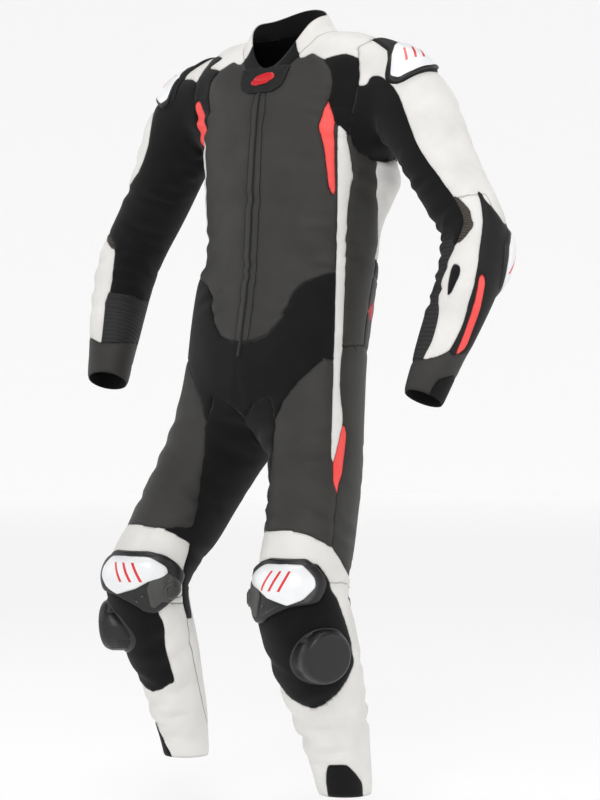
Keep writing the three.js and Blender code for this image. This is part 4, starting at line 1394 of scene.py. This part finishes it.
    def part(self, net: bpy.types.Object) -> None:
        """Part the net into its panels, give each its wall and finish.

        Args:
            net: the shaped object.
        """
        bpy.ops.object.select_all(action="DESELECT")
        bpy.context.view_layer.objects.active = net
        net.select_set(True)
        bpy.ops.mesh.separate(type="MATERIAL")
        for piece in list(bpy.context.selected_objects):
            panel = piece.data.materials[0].name.removeprefix("part_")
            cut = CUTS[self.kind(panel)]
            piece.name = f"cloth_{panel}"
            piece.data.name = piece.name
            piece.data.materials.clear()
            piece.data.materials.append(self.book.get(cut.finish))
            piece.data.materials.append(self.book.get(LINING))
            piece.data.polygons.foreach_set("use_smooth", [True] * len(piece.data.polygons))
            wall = piece.modifiers.new("wall", "SOLIDIFY")
            wall.thickness = self.WALL_MM * MM
            wall.offset = -1
            wall.material_offset = 1
            wall.material_offset_rim = 0
            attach(piece, BODY)
            if panel in frame["nodes"]:
                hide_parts(panel)

    def build(self) -> None:
        """Make all the cloth."""
        net = self.cage()
        self.shape(net)
        self.part(net)


@dataclass(frozen=True)
class Layer:
    """One layer of a moulded piece: its outline and how far it stands off the skin.

    outline is millimetres aside and up from the piece's middle, drawn for the wearer's left.
    heights are pairs of the share of the way to the outline and millimetres over the skin. A
    stiff layer keeps its own flat shape and only its edge goes down to the skin.
    """

    name: str
    finish: Finish
    slot: Slot
    outline: tuple[tuple[float, float], ...]
    heights: tuple[tuple[float, float], ...]
    rounding: int = 3
    cells: int = 40
    wall_mm: float = 1.2
    stiff: bool = False


def circle(
    radius: float, centre: tuple[float, float] = (0.0, 0.0), count: int = 28,
) -> tuple[tuple[float, float], ...]:
    """Give the points of a circle.

    Args:
        radius: millimetres.
        centre: millimetres aside and up.
        count: number of points.

    Returns:
        The points in millimetres.
    """
    turns = [2 * math.pi * k / count for k in range(count)]
    return tuple((centre[0] + radius * math.cos(t), centre[1] + radius * math.sin(t)) for t in turns)


@dataclass(frozen=True)
class Guard:
    """A moulded piece that is laid on the skin round a limb, layer over layer.

    at is its middle and facing the way that it looks, both for the wearer's left. bend_mm is the
    radius that it is bent to.
    """

    node: str
    hand: float
    at: tuple[float, float, float]
    facing: tuple[float, float, float]
    up: tuple[float, float, float]
    bend_mm: float
    layers: tuple[Layer, ...]

    STIFF_TO = 0.985
    DIRECTIONS = 180
    RAY_START_MM = 90
    RAY_REACH = 0.4

    def build(self, skin: Skin, book: FinishBook) -> None:
        """Lay every layer on the skin.

        Args:
            skin: the suit's skin, already shaped.
            book: the finishes.
        """
        for number, layer in enumerate(self.layers):
            piece = self.lay(layer, skin, book)
            if number == 0:
                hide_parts(self.node)

    def axes(self) -> tuple[Vector, Vector, Vector, Vector]:
        """Work out where the piece sits and how it is turned.

        Returns:
            Its middle, and its outward, sideways and upward directions.
        """
        spot = Vector((self.hand * self.at[0], self.at[1], self.at[2])) * MM
        out = Vector((self.hand * self.facing[0], self.facing[1], self.facing[2])).normalized()
        up = Vector((self.hand * self.up[0], self.up[1], self.up[2]))
        side = up.cross(out).normalized()
        return spot, out, side, out.cross(side)

    def lay(self, layer: Layer, skin: Skin, book: FinishBook) -> bpy.types.Object:
        """Lay one layer on the skin.

        Args:
            layer: its outline, heights and finish.
            skin: the suit's skin.
            book: the finishes.

        Returns:
            The new object.
        """
        middle = np.mean(layer.outline, axis=0)
        radii = self.radii(layer, middle)
        spot, outward, sideways, top = self.axes()
        bm = bmesh.new()
        bmesh.ops.create_grid(bm, x_segments=layer.cells, y_segments=layer.cells, size=1.0)
        face_map = bm.loops.layers.uv.new("face")
        flat = {}
        for vert in bm.verts:
            x, y = vert.co.x, vert.co.y
            u, v = x * math.sqrt(1 - y * y / 2), y * math.sqrt(1 - x * x / 2)
            share = min(1.0, math.hypot(u, v))
            turn = math.atan2(v, u) % (2 * math.pi)
            radius = share * np.interp(turn, np.linspace(0, 2 * math.pi, len(radii)), radii)
            a, b = middle[0] + radius * math.cos(turn), middle[1] + radius * math.sin(turn)
            if layer.stiff and share < self.STIFF_TO:
                vert.co = spot + (outward * self.rise(layer, share) + sideways * a * self.hand + top * b) * MM
            else:
                vert.co = self.land(skin, a, b, self.rise(layer, share))
            flat[vert] = ((a - middle[0]) * MM, (b - middle[1]) * MM)
        for face in bm.faces:
            for loop in face.loops:
                loop[face_map].uv = flat[loop.vert]
        bm.normal_update()
        if sum(face.normal.dot(outward) for face in bm.faces) < 0:
            bmesh.ops.reverse_faces(bm, faces=bm.faces)
        name = f"{layer.name}_{'left' if self.hand > 0 else 'right'}" if self.hand else layer.name
        return finish_piece(name, bm, layer.finish, layer.wall_mm, book)

    def radii(self, layer: Layer, middle: np.ndarray) -> np.ndarray:
        """Measure the outline's reach in every direction and round its corners.

        Args:
            layer: the layer.
            middle: the point that the reach is measured from.

        Returns:
            The reach in millimetres for evenly spaced directions, the last as the first.
        """
        points = np.array(layer.outline) - middle
        reach = np.zeros(self.DIRECTIONS)
        for k in range(self.DIRECTIONS):
            turn = 2 * math.pi * k / self.DIRECTIONS
            ray = np.array([math.cos(turn), math.sin(turn)])
            for p, q in zip(points, np.roll(points, -1, axis=0)):
                edge = q - p
                cross = ray[0] * edge[1] - ray[1] * edge[0]
                if abs(cross) < 1e-9:
                    continue
                far = (p[0] * edge[1] - p[1] * edge[0]) / cross
                share = (p[0] * ray[1] - p[1] * ray[0]) / cross
                if far > 0 and -1e-9 <= share <= 1 + 1e-9:
                    reach[k] = max(reach[k], far)
        for _ in range(layer.rounding):
            reach = 0.5 * reach + 0.25 * (np.roll(reach, 1) + np.roll(reach, -1))
        return np.r_[reach, reach[0]]

    @staticmethod
    def rise(layer: Layer, share: float) -> float:
        """Give the height over the skin.

        Args:
            layer: the layer.
            share: share of the way to the outline.

        Returns:
            Millimetres.
        """
        shares, heights = zip(*layer.heights)
        return float(np.interp(share, shares, heights))

    def land(self, skin: Skin, a: float, b: float, rise: float) -> Vector:
        """Find the place over the skin at a point of the piece's face.

        Args:
            skin: the suit's skin.
            a: millimetres aside, along the bend.
            b: millimetres up.
            rise: millimetres over the skin.

        Returns:
            The place.
        """
        spot, out, side, top = self.axes()
        hub = spot - out * self.bend_mm * MM + top * b * MM
        turn = a / self.bend_mm * (self.hand or 1)
        ray = out * math.cos(turn) + side * math.sin(turn)
        start = hub + ray * (self.bend_mm + self.RAY_START_MM) * MM
        hit = skin.tree.ray_cast(start, -ray, self.RAY_REACH)
        foot = hit[0] if hit[0] is not None else hub + ray * self.bend_mm * MM
        return foot + ray * rise * MM


def finish_piece(
    name: str, bm: bmesh.types.BMesh, finish: Finish, wall_mm: float, book: FinishBook,
) -> bpy.types.Object:
    """Turn a mesh into a finished piece of the suit.

    Args:
        name: the piece's name.
        bm: its mesh, freed here.
        finish: its finish.
        wall_mm: thickness added inwards, or 0.
        book: the finishes.

    Returns:
        The new object.
    """
    mesh = bpy.data.meshes.new(name)
    bm.to_mesh(mesh)
    bm.free()
    piece = bpy.data.objects.new(name, mesh)
    bpy.context.scene.collection.objects.link(piece)
    mesh.materials.append(book.get(finish))
    mesh.polygons.foreach_set("use_smooth", [True] * len(mesh.polygons))
    if wall_mm:
        wall = piece.modifiers.new("wall", "SOLIDIFY")
        wall.thickness = wall_mm * MM
        wall.offset = -1
    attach(piece, BODY)
    log.info("piece %s: %d faces", name, len(mesh.polygons))
    return piece


# Sizes and places of the moulded pieces in millimetres, turns in degrees, for the wearer's left
KNEE_HUB = (172.0, -196.0)
KNEE_HEIGHT = -911.0
KNEE_BEND = 80.0
KNEE_TURN = {"left": 10.0, "right": -6.0}
PUCK_TURN = {"left": 66.0, "right": 66.0}
PUCK_OUT = {"left": 80.0, "right": 68.0}
PUCK_HEIGHT = {"left": -1032.0, "right": -1006.0}
PUCK_RADIUS = 49
PUCK_BEND = 400.0
PAD_RADIUS = 52
RING_RADIUS = 17
DISC_RADIUS = 12
STUD_RADIUS = 3.4

KNEE_BASE = (
    (-122, 0), (-112, -26), (-98, -50), (-66, -70), (-40, -66), (-26, -57), (-3, -46), (18, -37), (64, -30),
    (76, -14), (85, 3), (83, 14), (69, 32), (48, 43), (0, 43), (-49, 43), (-80, 36), (-100, 22),
)
KNEE_SHELL = (
    (-84, 4), (-80, 16), (-62, 28), (-49, 34), (0, 35), (38, 34), (50, 24), (61, 12), (61, -3), (38, -24),
    (13, -35), (-24, -24), (-49, -10), (-72, -4),
)
KNEE_PLATE = (
    (-60, 18), (-86, 4), (-108, -13), (-112, -30), (-106, -42), (-92, -50), (-73, -48),
    (-61, -60), (-52, -57),
    (-44, -24), (-52, 0),
)
PLATE_DISC = (-91.0, -28.0)
STUDS = ((-26, -47), (-37, -37))
# Sideways share of the shoulder guard's facing and its place from front to back
SHOULDER_TURN = {"left": -0.36, "right": -0.62}
SHOULDER_FORE = {"left": -12, "right": -18}
SHOULDER_BEND = 150.0
RIM_GROWTH = 1.09
SHOULDER_CAP = (
    (-48, -28), (-46, -44), (-38, -56), (-26, -60), (4, -58), (40, -54), (66, -44), (76, -16),
    (70, 22), (54, 50),
    (36, 74), (16, 84), (-6, 74), (-9, 42), (-10, 24), (-24, 1), (-42, -20),
)
SHOULDER_SHELL = (
    (-44, -38), (-36, -53), (-10, -54), (30, -49), (58, -38), (66, -14), (61, 16), (44, 37),
    (24, 38), (2, 24),
    (-20, 0),
)
ELBOW_AT = (430, 40, -362)
ELBOW_FACING = (0.78, 0.62, -0.05)
ELBOW_BEND = 60.0
ELBOW_RIM = (
    (-36, 30), (-38, -10), (-34, -48), (-12, -66), (14, -66), (34, -46), (38, -6), (34, 40),
    (16, 62), (-16, 58),
)
ELBOW_SHELL = (
    (-27, 26), (-30, -8), (-27, -40), (-10, -55), (12, -55), (27, -38), (30, -4), (26, 34),
    (12, 51), (-12, 49),
)
FLAP_AT = (0, -90, -20)
FLAP_FACING = (0, -1, 0.28)
FLAP_BEND = 120.0
FLAP = ((-57, 27), (57, 27), (52, -4), (45, -18), (28, -27), (-28, -27), (-45, -18), (-52, -4))
BADGE_HALF_LENGTH = 26
BADGE_HALF_HEIGHT = 11.5
BADGE_LEAN = 5
BADGE_ASIDE = 2


def slanted_oval() -> tuple[tuple[float, float], ...]:
    """Give the outline of the flap's plain badge.

    Returns:
        Points in millimetres.
    """
    return tuple(
        (
            BADGE_HALF_LENGTH * math.cos(turn) + BADGE_ASIDE,
            BADGE_HALF_HEIGHT * math.sin(turn) + BADGE_LEAN * math.cos(turn),
        )
        for turn in np.linspace(0, 2 * math.pi, 33)[:-1]
    )


def knee_guards(tag: str, hand: float) -> list[Guard]:
    """List the moulded pieces of one knee.

    Args:
        tag: left or right.
        hand: 1 for the wearer's left, -1 for the right.

    Returns:
        The pieces.
    """
    turn = math.radians(KNEE_TURN[tag])
    facing = (math.sin(turn), -math.cos(turn), 0.0)
    at = (KNEE_HUB[0] + KNEE_BEND * facing[0], KNEE_HUB[1] + KNEE_BEND * facing[1], KNEE_HEIGHT)
    knee = {"hand": hand, "at": at, "facing": facing, "up": (0, 0, 1), "bend_mm": KNEE_BEND}
    low = math.radians(PUCK_TURN[tag])
    puck_facing = (math.sin(low), -math.cos(low), -0.08)
    puck_at = (
        KNEE_HUB[0] + PUCK_OUT[tag] * math.sin(low), KNEE_HUB[1] - PUCK_OUT[tag] * math.cos(low),
        PUCK_HEIGHT[tag],
    )
    cup = (
        Layer("knee_rim", RUBBER, Slot.BLACK, KNEE_BASE, (
            (0, 5), (0.7, 6), (0.8, 8.5), (0.92, 8.5), (0.97, 6), (1, 0.3),
        )),
        Layer("knee_shell", SHELL_BARS, Slot.SHELL, KNEE_SHELL,
              ((0, 15), (0.6, 13.5), (0.9, 10.5), (0.97, 9), (1, 5)), rounding=2),
        *(Layer(
            f"knee_stud_{number}", ZIP_METAL, Slot.PLATE, circle(STUD_RADIUS, stud),
            ((0, 8.4), (0.7, 7.6), (1, 4.6)), cells=8,
        ) for number, stud in enumerate(STUDS)),
    )
    plate = (
        Layer("knee_plate", PLATE, Slot.PLATE, KNEE_PLATE, (
            (0, 10), (0.85, 9.6), (0.96, 8.4), (1, 4.6),
        ), rounding=2),
        Layer("plate_ring", PLATE, Slot.PLATE, circle(RING_RADIUS, PLATE_DISC), (
            (0, 13), (0.86, 13), (1, 9),
        )),
        Layer("plate_disc", PLATE_DARK, Slot.PLATE, circle(DISC_RADIUS, PLATE_DISC), (
            (0, 15.4), (0.8, 15.2), (0.93, 14.4), (1, 12.4),
        )),
    )
    puck = (
        Layer("puck_pad", RUBBER, Slot.PUCK, circle(PAD_RADIUS, (0, -1)), ((0, 3), (0.95, 3), (1, 0.4))),
        Layer("puck", NYLON, Slot.PUCK, circle(PUCK_RADIUS), (
            (0, 15), (0.5, 14.6), (0.74, 13.4), (0.8, 12.8), (0.88, 10), (0.94, 4), (0.984, -3), (1, 1),
        ), cells=64, wall_mm=2.0, stiff=True),
    )
    return [
        Guard(f"knee_cup_{tag}", layers=cup, **knee),
        Guard(f"knee_plate_{tag}", layers=plate, **knee),
        Guard(f"knee_slider_{tag}", hand, puck_at, puck_facing, (0, 0, 1), PUCK_BEND, puck),
    ]


def guards() -> list[Guard]:
    """List the moulded pieces of both sides and the flap over the zip.

    Returns:
        The pieces.
    """
    found = []
    rim = tuple((RIM_GROWTH * a, RIM_GROWTH * b) for a, b in SHOULDER_SHELL)
    shoulder = (
        Layer("shoulder_cap", BLACK, Slot.BLACK, SHOULDER_CAP, ((0, 7), (0.8, 6.4), (0.93, 5), (1, 0.3))),
        Layer("shoulder_rim", RUBBER, Slot.BLACK, rim, ((0, 10), (0.9, 10), (0.96, 9.4), (1, 6)), rounding=2),
        Layer("shoulder_shell", SHELL_BARS, Slot.SHELL, SHOULDER_SHELL, (
            (0, 15), (0.5, 14), (0.85, 12), (0.96, 11), (1, 8),
        ), rounding=2),
    )
    elbow = (
        Layer("elbow_rim", RUBBER, Slot.BLACK, ELBOW_RIM, ((0, 4), (0.88, 4.4), (1, 0.4))),
        Layer("elbow_shell", SHELL_BARS, Slot.SHELL, ELBOW_SHELL, (
            (0, 13), (0.6, 11.6), (0.92, 8.4), (1, 4),
        ), rounding=2),
    )
    for tag, hand in SIDES.items():
        at = (252, SHOULDER_FORE[tag], 10)
        facing = (0.66, SHOULDER_TURN[tag], 0.66)
        found.append(Guard(f"shoulder_cup_{tag}", hand, at, facing, (-0.5, 0, 1), SHOULDER_BEND, shoulder))
        found.append(Guard(f"elbow_cap_{tag}", hand, ELBOW_AT, ELBOW_FACING, (0, 0, 1), ELBOW_BEND, elbow))
        found += knee_guards(tag, hand)
    flap = (
        Layer("zip_flap", BLACK, Slot.BLACK, FLAP, ((0, 3.6), (0.9, 3.6), (0.97, 3), (1, 0.6)), rounding=2),
        Layer("flap_badge", BADGE, Slot.RED, slanted_oval(), ((0, 6.2), (0.86, 6), (1, 3.8))),
    )
    found.append(Guard("zip_flap", 0.0, FLAP_AT, FLAP_FACING, (0, 0, 1), FLAP_BEND, flap))
    return found


class Zip:
    """The front zip: two rows of teeth on a thin tape."""

    TOP_MM = -44.0
    BOTTOM_MM = -524.0
    TAPE_HALF_MM = 3.4
    TOOTH_PITCH_MM = 2.6
    TAPE_STEPS = 120
    TAPE_LIFT_MM = 1.9
    TAPE_FALL_MM = 0.9
    TAPE_WALL_MM = 0.6
    TOOTH_MM = (2.0, 1.2, 0.9)
    TOOTH_ASIDE_MM = 0.8
    TOOTH_LIFT_MM = 2.3
    CAST_FROM = -0.5

    def build(self, skin: Skin, book: FinishBook) -> None:
        """Lay the tape and its teeth down the front.

        Args:
            skin: the suit's skin.
            book: the finishes.
        """
        tape = bmesh.new()
        bmesh.ops.create_grid(tape, x_segments=4, y_segments=self.TAPE_STEPS, size=1.0)
        for vert in tape.verts:
            height = self.TOP_MM + (self.BOTTOM_MM - self.TOP_MM) * (vert.co.y + 1) / 2
            lift = self.TAPE_LIFT_MM - self.TAPE_FALL_MM * abs(vert.co.x) ** 3
            vert.co = self.on_front(skin, vert.co.x * self.TAPE_HALF_MM, height, lift)
        tape.normal_update()
        if sum(face.normal.y for face in tape.faces) > 0:
            bmesh.ops.reverse_faces(tape, faces=tape.faces)
        finish_piece("zip_tape", tape, TAPE, self.TAPE_WALL_MM, book)
        teeth = bmesh.new()
        count = int((self.TOP_MM - self.BOTTOM_MM) / self.TOOTH_PITCH_MM)
        for number in range(count):
            for hand in (-1, 1):
                height = self.TOP_MM - (number + 0.25 * hand) * self.TOOTH_PITCH_MM
                place = self.on_front(skin, hand * self.TOOTH_ASIDE_MM, height, self.TOOTH_LIFT_MM)
                size = Matrix.Diagonal((*(side * MM for side in self.TOOTH_MM), 1))
                bmesh.ops.create_cube(teeth, size=1.0, matrix=Matrix.Translation(place) @ size)
        piece = finish_piece("zip_teeth", teeth, ZIP_METAL, 0.0, book)
        piece.data.polygons.foreach_set("use_smooth", [False] * len(piece.data.polygons))

    @staticmethod
    def on_front(skin: Skin, aside: float, height: float, lift: float) -> Vector:
        """Find a place over the front of the suit.

        Args:
            skin: the suit's skin.
            aside: millimetres towards the wearer's left.
            height: millimetres over the mount.
            lift: millimetres over the skin.

        Returns:
            The place.
        """
        start = Vector((aside * MM, Zip.CAST_FROM, height * MM))
        hit = skin.tree.ray_cast(start, Vector((0, 1, 0)), 1.0)
        return hit[0] + Vector((0, -lift * MM, 0))


class Studio:
    """Pale floor and backdrop, soft light and the camera at the photograph's angle."""

    AZIMUTH = math.radians(36.0)
    DISTANCE = 4.0
    LENS_MM = 98.3
    AIM_ASIDE = 0.020
    AIM_HEIGHT = -0.600
    FLOOR_DROP = 0.09
    GLOW = 0.66
    AROUND = 0.2
    SENSOR_MM = 36.0
    CLIP_END = 60.0
    FLOOR_RADIUS = 14.0
    WALL_HEIGHT = 10
    LOOK_AT = (0, 0, -0.5)
    # Name, place in metres, side in metres and watts of each soft light
    LAMPS = (
        ("key", (1.9, -3.3, 2.3), 1.6, 74),
        ("fill", (3.4, 0.6, 0.6), 2.4, 12),
        ("left", (-3.0, -1.8, 0.8), 2.4, 12),
        ("top", (0.0, 0.2, 3.0), 2.2, 44),
    )

    def build(self) -> None:
        """Make the stage, lights and camera."""
        bpy.context.scene.view_settings.view_transform = "Standard"
        self.camera()
        self.backdrop()
        self.lights()

    def camera(self) -> None:
        """Set the camera level, to the wearer's left of straight ahead."""
        data = bpy.data.cameras.new("camera")
        data.lens = self.LENS_MM
        data.sensor_width = self.SENSOR_MM
        data.clip_end = self.CLIP_END
        camera = bpy.data.objects.new("camera", data)
        bpy.context.scene.collection.objects.link(camera)
        right = Vector((math.cos(self.AZIMUTH), math.sin(self.AZIMUTH), 0))
        back = Vector((math.sin(self.AZIMUTH), -math.cos(self.AZIMUTH), 0))
        aim = right * self.AIM_ASIDE + Vector((0, 0, self.AIM_HEIGHT))
        camera.location = aim + back * self.DISTANCE
        camera.rotation_euler = (math.radians(90), 0, self.AZIMUTH)
        bpy.context.scene.camera = camera

    def backdrop(self) -> None:
        """Lay a plain pale floor with a round wall far behind the suit."""
        bm = bmesh.new()
        bmesh.ops.create_circle(bm, segments=96, radius=self.FLOOR_RADIUS, cap_ends=True)
        edges = [edge for edge in bm.edges if edge.is_boundary]
        grown = bmesh.ops.extrude_edge_only(bm, edges=edges)
        wall = [item for item in grown["geom"] if isinstance(item, bmesh.types.BMVert)]
        bmesh.ops.translate(bm, verts=wall, vec=(0, 0, self.WALL_HEIGHT))
        bmesh.ops.translate(bm, verts=bm.verts, vec=(0, 0, CAD_LOW.z - self.FLOOR_DROP))
        mesh = bpy.data.meshes.new("floor")
        bm.to_mesh(mesh)
        bm.free()
        floor = bpy.data.objects.new("floor", mesh)
        bpy.context.scene.collection.objects.link(floor)
        paint = Moulded("lit_paper", "#a4a4a4", "#a2a2a2", 0.9)
        material = paint.build()
        shader = next(node for node in material.node_tree.nodes if node.type == "BSDF_PRINCIPLED")
        shader.inputs["Emission Color"].default_value = (1, 1, 1, 1)
        shader.inputs["Emission Strength"].default_value = self.GLOW
        mesh.materials.append(material)

    def lights(self) -> None:
        """Hang large soft lights and an even surround."""
        world = bpy.data.worlds.new("studio")
        world.use_nodes = True
        surround = world.node_tree.nodes["Background"]
        surround.inputs["Color"].default_value = (1, 1, 1, 1)
        surround.inputs["Strength"].default_value = self.AROUND
        bpy.context.scene.world = world
        for name, place, size, power in self.LAMPS:
            data = bpy.data.lights.new(name, "AREA")
            data.size = size
            data.energy = power
            lamp = bpy.data.objects.new(name, data)
            lamp.location = place
            lamp.rotation_mode = "QUATERNION"
            lamp.rotation_quaternion = (Vector(place) - Vector(self.LOOK_AT)).to_track_quat("Z", "Y")
            bpy.context.scene.collection.objects.link(lamp)


def main() -> None:
    """Build the studio, the cloth and the moulded pieces."""
    logging.basicConfig(level=logging.INFO, format="%(name)s %(message)s")
    Studio().build()
    book = FinishBook()
    skin = Skin(book)
    skin.build()
    for guard in guards():
        guard.build(skin, book)
    Zip().build(skin, book)


if __name__ == "__main__":
    main()
